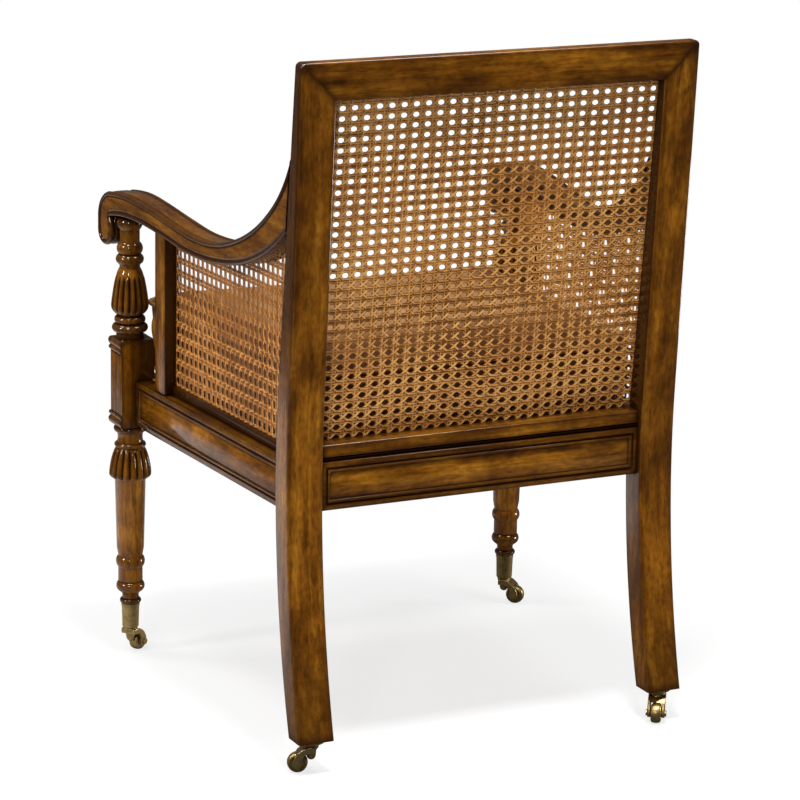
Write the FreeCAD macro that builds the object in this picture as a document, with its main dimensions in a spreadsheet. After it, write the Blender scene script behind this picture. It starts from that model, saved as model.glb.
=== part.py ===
"""Caned library armchair on castors.

The frame is +Z up with the floor at zero, the sitter facing -Y and the sitter's left at +X.
Each piece is one object of the document, and its sizes come from the sheet of driving dimensions.
"""
import FreeCAD
import Part
import math
import os

import Sketcher
from FreeCAD import Placement, Rotation, Vector

SIZES = {
    # rear legs and back
    "total_height": 940.0,
    "rear_leg_inner": 236.0,
    "rear_leg_width": 51.0,
    "rear_leg_bottom": 45.3,
    "waist_height": 390.0,
    "waist_front_y": 215.5,
    "waist_depth": 40.2,
    "front_sweep_radius": 1204.0,
    "rear_sweep_radius": 1308.0,
    "front_lean": 5.8,
    "rear_lean": 3.32,
    "crest_height": 51.0,
    "back_rail_height": 23.0,
    "back_rail_inset": 8.7,
    "cane_set_back": 6.0,
    "cane_thickness": 2.4,
    "cane_opening_share": 0.54,
    "back_cane_columns": 7,
    "side_cane_columns": 6,
    # seat rails
    "seat_rail_bottom": 344.0,
    "seat_rail_height": 65.0,
    "side_rail_thickness": 30.0,
    "side_rail_front_offset": 0.5,
    "side_rail_rear_inset": 7.0,
    "rear_rail_thickness": 33.0,
    "front_rail_thickness": 38.0,
    "panel_margin": 7.0,
    "panel_depth": 2.5,
    "panel_bead": 4.0,
    "panel_groove": 3.0,
    "tenon_thickness": 10.0,
    "tenon_height": 42.0,
    "tenon_length": 12.0,
    "joint_clearance": 0.1,
    # side panels
    "upright_distance": 60.0,
    "upright_depth": 30.0,
    "upright_thickness": 22.0,
    "upright_inset": 3.0,
    "upright_ear": 14.0,
    "upright_ear_height": 96.0,
    "panel_rail_height": 14.0,
    "panel_rail_thickness": 10.0,
    "side_cane_inset": 19.0,
    # front legs
    "front_leg_x": 303.5,
    "front_leg_y": -255.0,
    "block_width": 46.0,
    "block_bottom": 341.0,
    "block_height": 127.0,
    "block_face_inset": 2.0,
    "band_height": 19.0,
    "band_projection": 0.5,
    "reed_width": 13.0,
    "reed_projection": 1.5,
    "bulb_radius": 29.4,
    "vase_radius": 25.8,
    "ring_radius": 20.9,
    "shaft_radius": 19.6,
    "ankle_radius": 12.0,
    "neck_radius": 14.2,
    "arm_dowel_radius": 8.0,
    "arm_dowel_length": 13.0,
    "dowel_end_room": 1.0,
    "arm_seat_gap": 0.3,
    "seat_top_radius": 15.0,
    # arms
    "arm_width": 45.0,
    "arm_height": 661.5,
    "arm_rise": 17.5,
    "arm_thickness": 27.5,
    "arm_waist": 5.0,
    "arm_waist_start": 20.0,
    "arm_waist_length": 260.0,
    "arm_top_at_stile": 815.0,
    "arm_bottom_at_stile": 716.0,
    "scroll_radius": 20.5,
    "scroll_drop": 82.5,
    "scroll_reach": 57.0,
    # seat
    "seat_cane_landing": 4.7,
    "seat_cane_front_landing": 10.0,
    "seat_cane_thickness": 2.0,
    "cushion_thickness": 130.0,
    "cushion_side_inset": 31.0,
    "cushion_front_overhang": 2.0,
    "cushion_corner_radius": 30.0,
    "cushion_clearance": 0.3,
    "cushion_rear_gap": 1.3,
    "corner_block_leg": 60.0,
    "corner_block_height": 48.0,
    "screw_radius": 2.5,
    "screw_place": 0.42,
    "screw_head_depth": 3.0,
    "screw_hole_overrun": 10.0,
    "crest_dowel_radius": 5.0,
    "crest_dowel_length": 40.0,
    # castors
    "wheel_radius": 13.8,
    "wheel_width": 14.0,
    "tread_crown": 2.5,
    "trail": 18.0,
    "axle_radius": 2.5,
    "running_clearance": 0.05,
    "fork_gap": 0.5,
    "cheek_thickness": 4.5,
    "hub_radius": 6.5,
    "pin_head_radius": 4.2,
    "pin_head_length": 2.0,
    "swivel_height": 38.9,
    "swivel_gap": 0.3,
    "boss_radius": 10.0,
    "boss_height": 6.6,
    "pintle_radius": 4.0,
    "pintle_length": 10.0,
    "pintle_room": 1.0,
    "cup_top": 75.5,
    "cup_top_radius": 13.2,
    "cup_bottom_radius": 11.7,
    "cup_floor": 12.4,
    "cup_rim": 4.0,
    "cup_rim_projection": 0.6,
    "cup_edge_radius": 2.0,
    "plug_top_radius": 11.2,
    "plug_bottom_radius": 9.8,
    "nail_radius": 1.0,
    "nail_length": 4.6,
    "nail_start": 8.6,
    "nail_drop": 14.0,
    "plate_radius": 17.0,
    "plate_thickness": 3.0,
    "collar_radius": 11.0,
    "plate_screw_radius": 1.4,
    "plate_screw_length": 15.0,
}

CASTOR_ANGLES = {"rear_left": -24.5, "rear_right": 56.0, "front_left": -146.6, "front_right": 137.0}
SIDES = {"left": 1, "right": -1}

doc = FreeCAD.newDocument("armchair")
sheet = doc.addObject("Spreadsheet::Sheet", "Sizes")
for row, (alias, number) in enumerate(SIZES.items(), start=1):
    sheet.set(f"A{row}", alias)
    sheet.set(f"B{row}", str(number))
    sheet.setAlias(f"B{row}", alias)
doc.recompute()


def size(expression):
    """Value of a sheet alias, or of an expression of aliases that starts with Sizes."""
    return float(sheet.evalExpression(expression if "Sizes." in expression else "Sizes." + expression))


# heights and places that several pieces share
RAIL_TOP = size("Sizes.seat_rail_bottom + Sizes.seat_rail_height")
WAIST_REAR_Y = size("Sizes.waist_front_y + Sizes.waist_depth")
REAR_LEG_OUTER = size("Sizes.rear_leg_inner + Sizes.rear_leg_width")
BACK_RAIL_TOP = RAIL_TOP + size("back_rail_height")
CREST_BOTTOM = size("Sizes.total_height - Sizes.crest_height")
BLOCK_HALF = size("block_width") / 2
BLOCK_TOP = size("Sizes.block_bottom + Sizes.block_height")
BLOCK_REAR_Y = size("front_leg_y") + BLOCK_HALF
CUSHION_FRONT_Y = size("front_leg_y") - BLOCK_HALF - size("cushion_front_overhang")
SIDE_RUN = size("waist_front_y") - BLOCK_REAR_Y
SIDE_RAIL_FRONT = size("Sizes.front_leg_x + Sizes.side_rail_front_offset")
SIDE_RAIL_REAR = REAR_LEG_OUTER - size("side_rail_rear_inset")
SPLAY = math.atan2(SIDE_RAIL_FRONT - SIDE_RAIL_REAR, SIDE_RUN)
AXLE_HEIGHT = size("wheel_radius")
CHEEK_INNER = size("Sizes.wheel_width / 2 + Sizes.fork_gap")
CHEEK_OUTER = CHEEK_INNER + size("cheek_thickness")


def swept_face(z, waist_y, radius, lean):
    """Y of a leg face at height z: an arc about the waist, then a straight raked line."""
    waist = size("waist_height")
    arc_end = waist + radius * math.sin(math.radians(lean))
    on_arc = min(z, arc_end)
    y = waist_y + radius - math.sqrt(radius ** 2 - (on_arc - waist) ** 2)
    return y + max(0.0, z - arc_end) * math.tan(math.radians(lean))


def front_face(z):
    """Y of the rear leg's front face at height z."""
    return swept_face(z, size("waist_front_y"), size("front_sweep_radius"), size("front_lean"))


def rear_face(z):
    """Y of the rear leg's rear face at height z."""
    return swept_face(z, WAIST_REAR_Y, size("rear_sweep_radius"), size("rear_lean"))


def rail_outer(y):
    """Distance of the side rail's outer face from the middle plane at depth y."""
    return SIDE_RAIL_FRONT - (y - BLOCK_REAR_Y) * math.tan(SPLAY)


class Outline:
    """A closed run of lines, arcs and splines in a sketch plane."""

    def __init__(self, x, y):
        self.first = self.last = Vector(x, y, 0)
        self.pieces = []

    def line(self, x, y):
        end = Vector(x, y, 0)
        self.pieces.append(Part.LineSegment(self.last, end))
        self.last = end
        return self

    def arc(self, mid, end):
        end = Vector(*end, 0)
        self.pieces.append(Part.Arc(self.last, Vector(*mid, 0), end))
        self.last = end
        return self

    def spline(self, points):
        curve = Part.BSplineCurve()
        stops = [self.last] + [Vector(x, y, 0) for x, y in points]
        curve.interpolate(stops)
        self.pieces.append(curve)
        self.last = stops[-1]
        return self

    def close(self):
        self.line(self.first.x, self.first.y)
        return self.pieces


def new_body(label, placement=None):
    """An empty body that carries one piece."""
    body = doc.addObject("PartDesign::Body", label)
    body.Label = label
    if placement is not None:
        body.Placement = placement
    return body


def new_sketch(body, role, offset=0.0):
    """A sketch on one of the body's own planes, moved along the plane's normal."""
    sketch = body.newObject("Sketcher::SketchObject", body.Name + "_sketch")
    support = [feature for feature in body.Origin.OriginFeatures if feature.Role == role][0]
    sketch.AttachmentSupport = [(support, "")]
    sketch.MapMode = "FlatFace"
    sketch.AttachmentOffset = Placement(Vector(0, 0, offset), Rotation())
    return sketch


def draw(sketch, pieces):
    """Put an outline's pieces into a sketch."""
    for piece in pieces:
        sketch.addGeometry(piece, False)


def rectangle(sketch, left, bottom, right, top):
    """A rectangle whose four sides are bound to sheet expressions or plain values."""
    bounds = [left, bottom, right, top]
    low_x, low_y, high_x, high_y = [size(b) if isinstance(b, str) else b for b in bounds]
    corners = [(low_x, low_y), (high_x, low_y), (high_x, high_y), (low_x, high_y)]
    first = sketch.GeometryCount
    for start, end in zip(corners, corners[1:] + corners[:1]):
        sketch.addGeometry(Part.LineSegment(Vector(*start, 0), Vector(*end, 0)), False)
    for step in range(4):
        following = first + (step + 1) % 4
        sketch.addConstraint(Sketcher.Constraint("Coincident", first + step, 2, following, 1))
        sketch.addConstraint(Sketcher.Constraint("Vertical" if step % 2 else "Horizontal", first + step))
    ends = [("DistanceX", first, 1), ("DistanceY", first, 1)]
    ends += [("DistanceX", first + 1, 2), ("DistanceY", first + 1, 2)]
    for (kind, edge, point), bound, value in zip(ends, bounds, (low_x, low_y, high_x, high_y)):
        index = sketch.addConstraint(Sketcher.Constraint(kind, -1, 1, edge, point, value))
        if isinstance(bound, str):
            sketch.setExpression(f"Constraints[{index}]", bound)


def pad(body, sketch, length, midplane=False, reverse=False):
    """Pad a sketch by a sheet expression or a plain length."""
    feature = body.newObject("PartDesign::Pad", body.Name + "_pad")
    feature.Profile = sketch
    feature.Midplane = midplane
    feature.Reversed = reverse
    set_length(feature, length)
    return feature


def set_length(feature, length):
    """Bind a feature's length to the sheet where it is given as an expression."""
    if isinstance(length, str):
        feature.setExpression("Length", length)
    else:
        feature.Length = length


def pocket(body, sketch, length=None, midplane=False, reverse=False):
    """Cut a sketch into the body, right through where no length is given."""
    feature = body.newObject("PartDesign::Pocket", body.Name + "_pocket")
    feature.Profile = sketch
    feature.Midplane = midplane
    feature.Reversed = reverse
    if length is None:
        feature.Type = "ThroughAll"
    else:
        set_length(feature, length)
    return feature


def revolve(body, pieces):
    """Turn a profile of radius and height about the body's upright axis."""
    sketch = new_sketch(body, "XZ_Plane")
    draw(sketch, pieces)
    feature = body.newObject("PartDesign::Revolution", body.Name + "_turning")
    feature.Profile = sketch
    feature.ReferenceAxis = (sketch, ["V_Axis"])
    feature.Angle = 360
    return feature


def block(label, low, high):
    """A square-edged block between two corners."""
    solid = doc.addObject("Part::Box", label)
    solid.Length, solid.Width, solid.Height = [b - a for a, b in zip(low, high)]
    solid.Placement = Placement(Vector(*low), Rotation())
    return solid


def rod(label, radius, length, base, direction):
    """A round rod from a base point along a direction, with its radius and length from the sheet."""
    solid = doc.addObject("Part::Cylinder", label)
    for name, bound in (("Radius", radius), ("Height", length)):
        if isinstance(bound, str):
            solid.setExpression(name, bound)
        else:
            setattr(solid, name, bound)
    solid.Placement = Placement(Vector(*base), Rotation(Vector(0, 0, 1), Vector(*direction)))
    return solid


def joined(label, solids):
    """One piece from solids that meet."""
    fusion = doc.addObject("Part::MultiFuse", label)
    fusion.Label = label
    fusion.Shapes = solids
    return fusion


def cut(label, base, tools):
    """A piece with its mortises and bores cut out."""
    tool = tools[0] if len(tools) == 1 else joined(label + "_cutters", tools)
    result = doc.addObject("Part::Cut", label)
    result.Label = label
    result.Base = base
    result.Tool = tool
    return result


def group(label, solids):
    """Identical fasteners as one piece of separate solids."""
    compound = doc.addObject("Part::Compound", label)
    compound.Label = label
    compound.Links = solids
    return compound


def tenon_box(label, centre, half, grow=0.0):
    """A tenon, or with grow the mortise that it sits in."""
    low = [c - h - grow for c, h in zip(centre, half)]
    high = [c + h + grow for c, h in zip(centre, half)]
    return block(label, low, high)


# tenons of the seat and back rails, shared by the rails and the legs that they enter
HALF_TENON = size("tenon_thickness") / 2
TENON_LENGTH = size("tenon_length")
TENON_RISE = size("tenon_height") / 2
RAIL_MIDDLE = size("Sizes.seat_rail_bottom + Sizes.seat_rail_height / 2")
REAR_RAIL_MIDDLE_Y = size("Sizes.waist_front_y + Sizes.rear_rail_thickness / 2")
BACK_RAIL_REAR_Y = WAIST_REAR_Y - size("back_rail_inset")
BACK_RAIL_FRONT_Y = front_face(BACK_RAIL_TOP) + size("joint_clearance")
BACK_RAIL_MIDDLE_Y = (BACK_RAIL_REAR_Y + BACK_RAIL_FRONT_Y) / 2
FRONT_RAIL_MIDDLE_Y = BLOCK_REAR_Y - size("front_rail_thickness") / 2


def tenon_places(side):
    """Centre and half sizes of each tenon on one side, by the joint's name."""
    inner = size("rear_leg_inner")
    block_inner = size("front_leg_x") - BLOCK_HALF
    across = TENON_LENGTH / 2
    rear_middle = rail_outer(size("waist_front_y")) - size("side_rail_thickness") / 2
    front_middle = rail_outer(BLOCK_REAR_Y) - size("side_rail_thickness") / 2
    upright_tenon = (HALF_TENON, across, TENON_RISE)
    level_tenon = (across, HALF_TENON, TENON_RISE)
    low_tenon = (across, HALF_TENON, size("back_rail_height") / 2 - HALF_TENON / 2)
    back_z = RAIL_TOP + size("back_rail_height") / 2
    return {
        "rear_rail": ((side * (inner + across), REAR_RAIL_MIDDLE_Y, RAIL_MIDDLE), level_tenon),
        "back_rail": ((side * (inner + across), BACK_RAIL_MIDDLE_Y, back_z), low_tenon),
        "side_rear": ((side * rear_middle, size("waist_front_y") + across, RAIL_MIDDLE), upright_tenon),
        "side_front": ((side * front_middle, BLOCK_REAR_Y - across, RAIL_MIDDLE), upright_tenon),
        "front_rail": ((side * (block_inner + across), FRONT_RAIL_MIDDLE_Y, RAIL_MIDDLE), level_tenon),
    }


def tenons(side, names, purpose):
    """The named tenons of one side, or the mortises for them."""
    grow = size("joint_clearance") if purpose == "mortise" else 0.0
    places = tenon_places(side)
    tag = "left" if side > 0 else "right"
    return [tenon_box(f"{purpose}_{name}_{tag}", *places[name], grow) for name in names]


def crest_dowel_rods(side, grow=0.0):
    """Dowel across one mitre, along the line square to it."""
    inner = size("rear_leg_inner")
    middle_x = side * (inner + size("rear_leg_width") / 2)
    middle_z = CREST_BOTTOM + size("crest_height") / 2
    middle_y = (front_face(middle_z) + rear_face(middle_z)) / 2
    half = (size("crest_dowel_length") / 2 + grow) / math.sqrt(2)
    base = (middle_x + side * half, middle_y, middle_z - half)
    radius = "Sizes.crest_dowel_radius" if grow == 0 else f"Sizes.crest_dowel_radius + {grow}"
    length = "Sizes.crest_dowel_length" if grow == 0 else f"Sizes.crest_dowel_length + {2 * grow}"
    name = "crest_dowel" if grow == 0 else "crest_dowel_hole"
    return rod(name, radius, length, base, (-side, 0, 1))


def castor_place(name):
    """Swivel axis of a castor at floor level."""
    side = SIDES[name.split("_")[1]]
    if name.startswith("front"):
        return Vector(side * size("front_leg_x"), size("front_leg_y"), 0)
    bottom = size("rear_leg_bottom")
    middle = size("Sizes.rear_leg_inner + Sizes.rear_leg_width / 2")
    return Vector(side * middle, (front_face(bottom) + rear_face(bottom)) / 2, 0)


def castor_bore(name):
    """Room for the pintle's end above a rear castor's plate."""
    place = castor_place(name)
    base = (place.x, place.y, size("rear_leg_bottom"))
    radius = "Sizes.pintle_radius + Sizes.pintle_room"
    return rod("pintle_room", radius, "Sizes.pintle_length", base, (0, 0, 1))


def make_rear_leg(tag, side):
    """Sabre leg and raked stile in one, mitred at the top."""
    body = new_body("rear_leg_blank_" + tag)
    inner = size("rear_leg_inner")
    near = inner if side > 0 else -REAR_LEG_OUTER
    sketch = new_sketch(body, "YZ_Plane", near)
    bottom, top, waist = size("rear_leg_bottom"), size("total_height"), size("waist_height")
    rear_end = waist + size("rear_sweep_radius") * math.sin(math.radians(size("rear_lean")))
    front_end = waist + size("front_sweep_radius") * math.sin(math.radians(size("front_lean")))
    path = Outline(rear_face(bottom), bottom)
    path.arc((rear_face(waist), waist), (rear_face(rear_end), rear_end))
    path.line(rear_face(top), top).line(front_face(top), top).line(front_face(front_end), front_end)
    path.arc((front_face(waist), waist), (front_face(bottom), bottom))
    draw(sketch, path.close())
    pad(body, sketch, "Sizes.rear_leg_width")
    mitre = new_sketch(body, "XZ_Plane")
    corner = Outline(side * inner, CREST_BOTTOM).line(side * REAR_LEG_OUTER, top).line(side * inner, top)
    draw(mitre, corner.close())
    pocket(body, mitre, midplane=True)
    holes = tenons(side, ["rear_rail", "back_rail", "side_rear"], "mortise")
    holes.append(crest_dowel_rods(side, size("joint_clearance")))
    holes.append(castor_bore("rear_" + tag))
    holes += plate_screws("rear_" + tag, size("joint_clearance"))
    return cut("rear_leg_" + tag, body, holes)


def make_crest_rail():
    """Top rail between the stiles, raked with them and mitred at both ends."""
    body = new_body("crest_rail_blank")
    top = size("total_height")
    sketch = new_sketch(body, "YZ_Plane")
    path = Outline(rear_face(CREST_BOTTOM), CREST_BOTTOM).line(rear_face(top), top)
    path.line(front_face(top), top).line(front_face(CREST_BOTTOM), CREST_BOTTOM)
    draw(sketch, path.close())
    pad(body, sketch, "2 * (Sizes.rear_leg_inner + Sizes.rear_leg_width)", midplane=True)
    for side in SIDES.values():
        mitre = new_sketch(body, "XZ_Plane")
        corner = Outline(side * size("rear_leg_inner"), CREST_BOTTOM).line(side * REAR_LEG_OUTER, top)
        draw(mitre, corner.line(side * REAR_LEG_OUTER, CREST_BOTTOM).close())
        pocket(body, mitre, midplane=True)
    holes = [crest_dowel_rods(side, size("joint_clearance")) for side in SIDES.values()]
    return cut("crest_rail", body, holes)


def sink_panel(body, role, offset, left, right, reverse):
    """Sunk panel with a raised bead round it, in the rail's outer face."""
    sketch = new_sketch(body, role, offset)
    margin, bead, groove = size("panel_margin"), size("panel_bead"), size("panel_groove")
    low, high = size("seat_rail_bottom"), RAIL_TOP
    for inset in (margin, margin + groove, margin + groove + bead):
        rectangle(sketch, left + inset, low + inset, right - inset, high - inset)
    pocket(body, sketch, "Sizes.panel_depth", reverse=reverse)


def make_rear_seat_rail():
    """Rail under the back, with its panel facing the rear."""
    body = new_body("rear_seat_rail_blank")
    sketch = new_sketch(body, "XZ_Plane", -size("waist_front_y"))
    rectangle(sketch, "-Sizes.rear_leg_inner", "Sizes.seat_rail_bottom", "Sizes.rear_leg_inner",
              "Sizes.seat_rail_bottom + Sizes.seat_rail_height")
    pad(body, sketch, "Sizes.rear_rail_thickness", reverse=True)
    inner = size("rear_leg_inner")
    rear = size("Sizes.waist_front_y + Sizes.rear_rail_thickness")
    sink_panel(body, "XZ_Plane", -rear, -inner, inner, True)
    ends = tenons(1, ["rear_rail"], "tenon") + tenons(-1, ["rear_rail"], "tenon")
    return joined("rear_seat_rail", [body] + ends)


def make_front_seat_rail():
    """Rail between the front leg blocks, with its panel facing forward."""
    body = new_body("front_seat_rail_blank")
    half = size("front_leg_x") - BLOCK_HALF
    sketch = new_sketch(body, "XZ_Plane", -BLOCK_REAR_Y)
    rectangle(sketch, -half, "Sizes.seat_rail_bottom", half,
              "Sizes.seat_rail_bottom + Sizes.seat_rail_height")
    pad(body, sketch, "Sizes.front_rail_thickness")
    front = BLOCK_REAR_Y - size("front_rail_thickness")
    sink_panel(body, "XZ_Plane", -front, -half, half, False)
    ends = tenons(1, ["front_rail"], "tenon") + tenons(-1, ["front_rail"], "tenon")
    return joined("front_seat_rail", [body] + ends)


def make_back_lower_rail():
    """Flat band under the back cane."""
    inner = size("rear_leg_inner")
    low, high = (-inner, BACK_RAIL_FRONT_Y, RAIL_TOP), (inner, BACK_RAIL_REAR_Y, BACK_RAIL_TOP)
    bar = block("back_lower_rail_bar", low, high)
    ends = tenons(1, ["back_rail"], "tenon") + tenons(-1, ["back_rail"], "tenon")
    return joined("back_lower_rail", [bar] + ends)


def side_placement(side):
    """Frame of one side: origin at the rail's front outer corner, X along the rail to the rear."""
    turn = math.degrees(math.pi / 2 + side * SPLAY)
    origin = Vector(side * SIDE_RAIL_FRONT, BLOCK_REAR_Y, 0)
    return Placement(origin, Rotation(Vector(0, 0, 1), turn))


def along(y, inward=0.0):
    """Distance along the splayed side of a point at depth y that lies inward of the rail's outer face."""
    return (y - BLOCK_REAR_Y + inward * math.sin(SPLAY)) / math.cos(SPLAY)


def make_side_seat_rail(tag, side):
    """Splayed rail between front leg and rear leg, panelled on its outer face."""
    body = new_body("side_seat_rail_blank_" + tag, side_placement(side))
    sketch = new_sketch(body, "XY_Plane", size("seat_rail_bottom"))
    inward = size("side_rail_thickness")
    shift, depth = inward * math.sin(SPLAY), side * inward * math.cos(SPLAY)
    run = along(size("waist_front_y"))
    path = Outline(0, 0).line(run, 0).line(run + shift, depth).line(shift, depth)
    draw(sketch, path.close())
    pad(body, sketch, "Sizes.seat_rail_height")
    sink_panel(body, "XZ_Plane", 0, 0, run, side < 0)
    ends = tenons(side, ["side_rear", "side_front"], "tenon")
    solid = joined("side_seat_rail_solid_" + tag, [body] + ends)
    holes = [corner_screw(side, end, size("joint_clearance")) for end in ("front", "rear")]
    return cut("side_seat_rail_" + tag, solid, holes)


def arm_curves():
    """Upper and lower edge of an arm as points of depth and height, from stile to scroll."""
    low, rise, thick = size("arm_height"), size("arm_rise"), size("arm_thickness")
    top, bottom = size("arm_top_at_stile"), size("arm_bottom_at_stile")
    y_top, y_bottom = front_face(top), front_face(bottom)
    leg_y = size("front_leg_y")
    span = y_top - leg_y
    fall = top - low
    upper = [(y_top - 0.05 * span, top - 0.29 * fall), (y_top - 0.15 * span, top - 0.61 * fall),
             (y_top - 0.276 * span, top - 0.845 * fall), (y_top - 0.43 * span, top - 0.987 * fall),
             (y_top - 0.55 * span, low), (y_top - 0.69 * span, low + 0.42 * rise),
             (y_top - 0.83 * span, low + 0.85 * rise), (y_top - 0.94 * span, low + rise),
             (leg_y - 0.5 * size("scroll_reach"), low + 0.7 * rise)]
    under = low - thick
    climb = bottom - under
    lower = [(leg_y - size("scroll_reach") + 1.7 * size("scroll_radius"), under + 0.3 * rise),
             (leg_y + 0.03 * span, under + 0.66 * rise), (leg_y + 0.13 * span, under + 0.77 * rise),
             (leg_y + 0.27 * span, under + 0.5 * rise), (leg_y + 0.43 * span, under),
             (leg_y + 0.6 * span, under + 0.035 * climb), (leg_y + 0.76 * span, under + 0.24 * climb),
             (leg_y + 0.89 * span, under + 0.6 * climb), (y_bottom, bottom)]
    return upper, lower


def arm_underside(y, drop):
    """Height just under the arm at depth y, from the same lower edge as the arm."""
    curve = Part.BSplineCurve()
    curve.interpolate([Vector(0, py, pz) for py, pz in arm_curves()[1]])
    plane = Part.Plane(Vector(0, y, 0), Vector(0, 1, 0))
    return curve.intersect(plane)[0][0].Z - drop


# the leg's top clears the arm's underside at the front and rear of the turning
SEAT_EDGES = [size("front_leg_y") + sign * size("seat_top_radius") for sign in (-1, 1)]
ARM_SEAT = min(arm_underside(y, size("arm_seat_gap")) for y in SEAT_EDGES)


def make_arm(tag, side):
    """Arm that sweeps down from the stile, rises to the front leg and turns over in a scroll."""
    top, half = size("arm_top_at_stile"), size("arm_width") / 2
    y_top, leg_y, leg_x = front_face(top), size("front_leg_y"), size("front_leg_x")
    rear_middle = REAR_LEG_OUTER - half
    turn = math.atan2(leg_x - rear_middle, y_top - leg_y)
    origin = Vector(side * (leg_x - half), leg_y, 0)
    frame = Placement(origin, Rotation(Vector(0, 0, 1), math.degrees(side * turn)))
    body = new_body("arm_blank_" + tag, frame)
    stretch = 1 / math.cos(turn)
    clearance = size("joint_clearance")

    def place(point):
        return (point[0] - leg_y - clearance) * stretch, point[1]

    upper, lower = arm_curves()
    crown = size("Sizes.arm_height + Sizes.arm_rise")
    radius, nose_y = size("scroll_radius"), leg_y - size("scroll_reach")
    scroll_y, scroll_z = nose_y + radius, crown - size("scroll_drop") + radius
    path = Outline(*place((y_top, top))).spline([place(p) for p in upper])
    path.arc(place((nose_y + 0.36 * radius, crown - radius)), place((nose_y, scroll_z + 0.75 * radius)))
    path.line(*place((nose_y, scroll_z)))
    path.arc(place((scroll_y, scroll_z - radius)), place((scroll_y + radius, scroll_z)))
    path.line(*place(lower[0]))
    path.spline([place(p) for p in lower[1:]])
    sketch = new_sketch(body, "YZ_Plane")
    draw(sketch, path.close())
    feature = pad(body, sketch, "Sizes.arm_width")
    feature.UseCustomVector = True
    feature.Direction = Vector(side * math.cos(turn), -math.sin(turn), 0)
    feature.AlongSketchNormal = False
    waist = new_sketch(body, "XY_Plane")
    begin, length = size("arm_waist_start"), size("arm_waist_length")
    hollow = Outline(0, begin).arc((side * size("arm_waist"), begin + length / 2), (0, begin + length))
    draw(waist, hollow.close())
    pocket(body, waist, midplane=True)
    depth = "Sizes.arm_dowel_length + Sizes.dowel_end_room + Sizes.arm_thickness"
    foot = (side * leg_x, leg_y, ARM_SEAT - size("arm_thickness"))
    socket = rod("arm_socket", "Sizes.arm_dowel_radius + Sizes.joint_clearance", depth, foot, (0, 0, 1))
    return cut("arm_" + tag, body, [socket])


def turned_profile():
    """Radius and height of the front leg, from the plug in the castor cup up to its top dowel."""
    dowel, dowel_top = size("arm_dowel_radius"), ARM_SEAT + size("arm_dowel_length")
    vase, bulb = size("vase_radius"), size("bulb_radius")
    ring, shaft, neck = size("ring_radius"), size("shaft_radius"), size("neck_radius")
    foot, base = BLOCK_TOP, size("block_bottom")
    cup = size("cup_top") + size("joint_clearance")
    plug_bottom = size("Sizes.swivel_height + Sizes.cup_floor + Sizes.joint_clearance")
    path = Outline(0, plug_bottom).line(size("plug_bottom_radius"), plug_bottom)
    path.line(size("plug_top_radius"), cup)
    # foot: a ring on the cup, a ball, a collar and the tapered shaft
    ankle = size("ankle_radius")
    path.line(ankle, cup).arc((ankle + 3.4, cup + 4), (ankle, cup + 8)).line(ankle - 0.2, cup + 14)
    path.line(ankle + 3, cup + 18).arc((ring - 0.4, cup + 26), (ankle + 4, cup + 34))
    path.line(shaft - 2, cup + 34).line(shaft - 2, cup + 55).arc((ring, cup + 64), (shaft - 2.2, cup + 72))
    path.line(shaft, cup + 84).line(shaft + 2.4, base - 80)
    # bulb and its rings under the block
    path.line(bulb - 6, base - 78).arc((bulb - 1.4, base - 75), (bulb, base - 68))
    path.arc((bulb - 2.8, base - 51), (ring - 0.9, base - 32))
    path.arc((ring + 1.6, base - 28.5), (shaft - 0.6, base - 25))
    path.arc((shaft - 1.9, base - 18), (shaft - 0.6, base - 10))
    path.arc((ring + 2.6, base - 5), (ring - 0.9, base))
    # two rings and the vase over the block, then rings and neck, at shares of the height under the arm
    rise = ARM_SEAT - foot
    path.line(ring - 0.9, foot).line(shaft - 0.6, foot + 0.052 * rise)
    path.arc((vase - 0.3, foot + 0.087 * rise), (shaft - 0.6, foot + 0.125 * rise))
    path.arc((vase - 3.8, foot + 0.16 * rise), (shaft - 2.6, foot + 0.194 * rise))
    path.arc((vase - 0.6, foot + 0.25 * rise), (vase, foot + 0.296 * rise))
    path.arc((vase - 2.6, foot + 0.406 * rise), (vase - 6.8, foot + 0.528 * rise))
    path.arc((vase - 8.8, foot + 0.563 * rise), (neck, foot + 0.592 * rise))
    path.line(neck + 0.8, foot + 0.618 * rise)
    path.arc((neck + 5.6, foot + 0.661 * rise), (neck + 0.8, foot + 0.702 * rise))
    path.arc((neck + 4.2, foot + 0.754 * rise), (neck - 0.2, foot + 0.801 * rise))
    path.line(neck - 0.2, foot + 0.905 * rise)
    path.arc((neck + 3.8, foot + 0.952 * rise), (size("seat_top_radius"), ARM_SEAT)).line(dowel, ARM_SEAT)
    path.line(dowel, dowel_top).line(0, dowel_top)
    return path.close()


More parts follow.
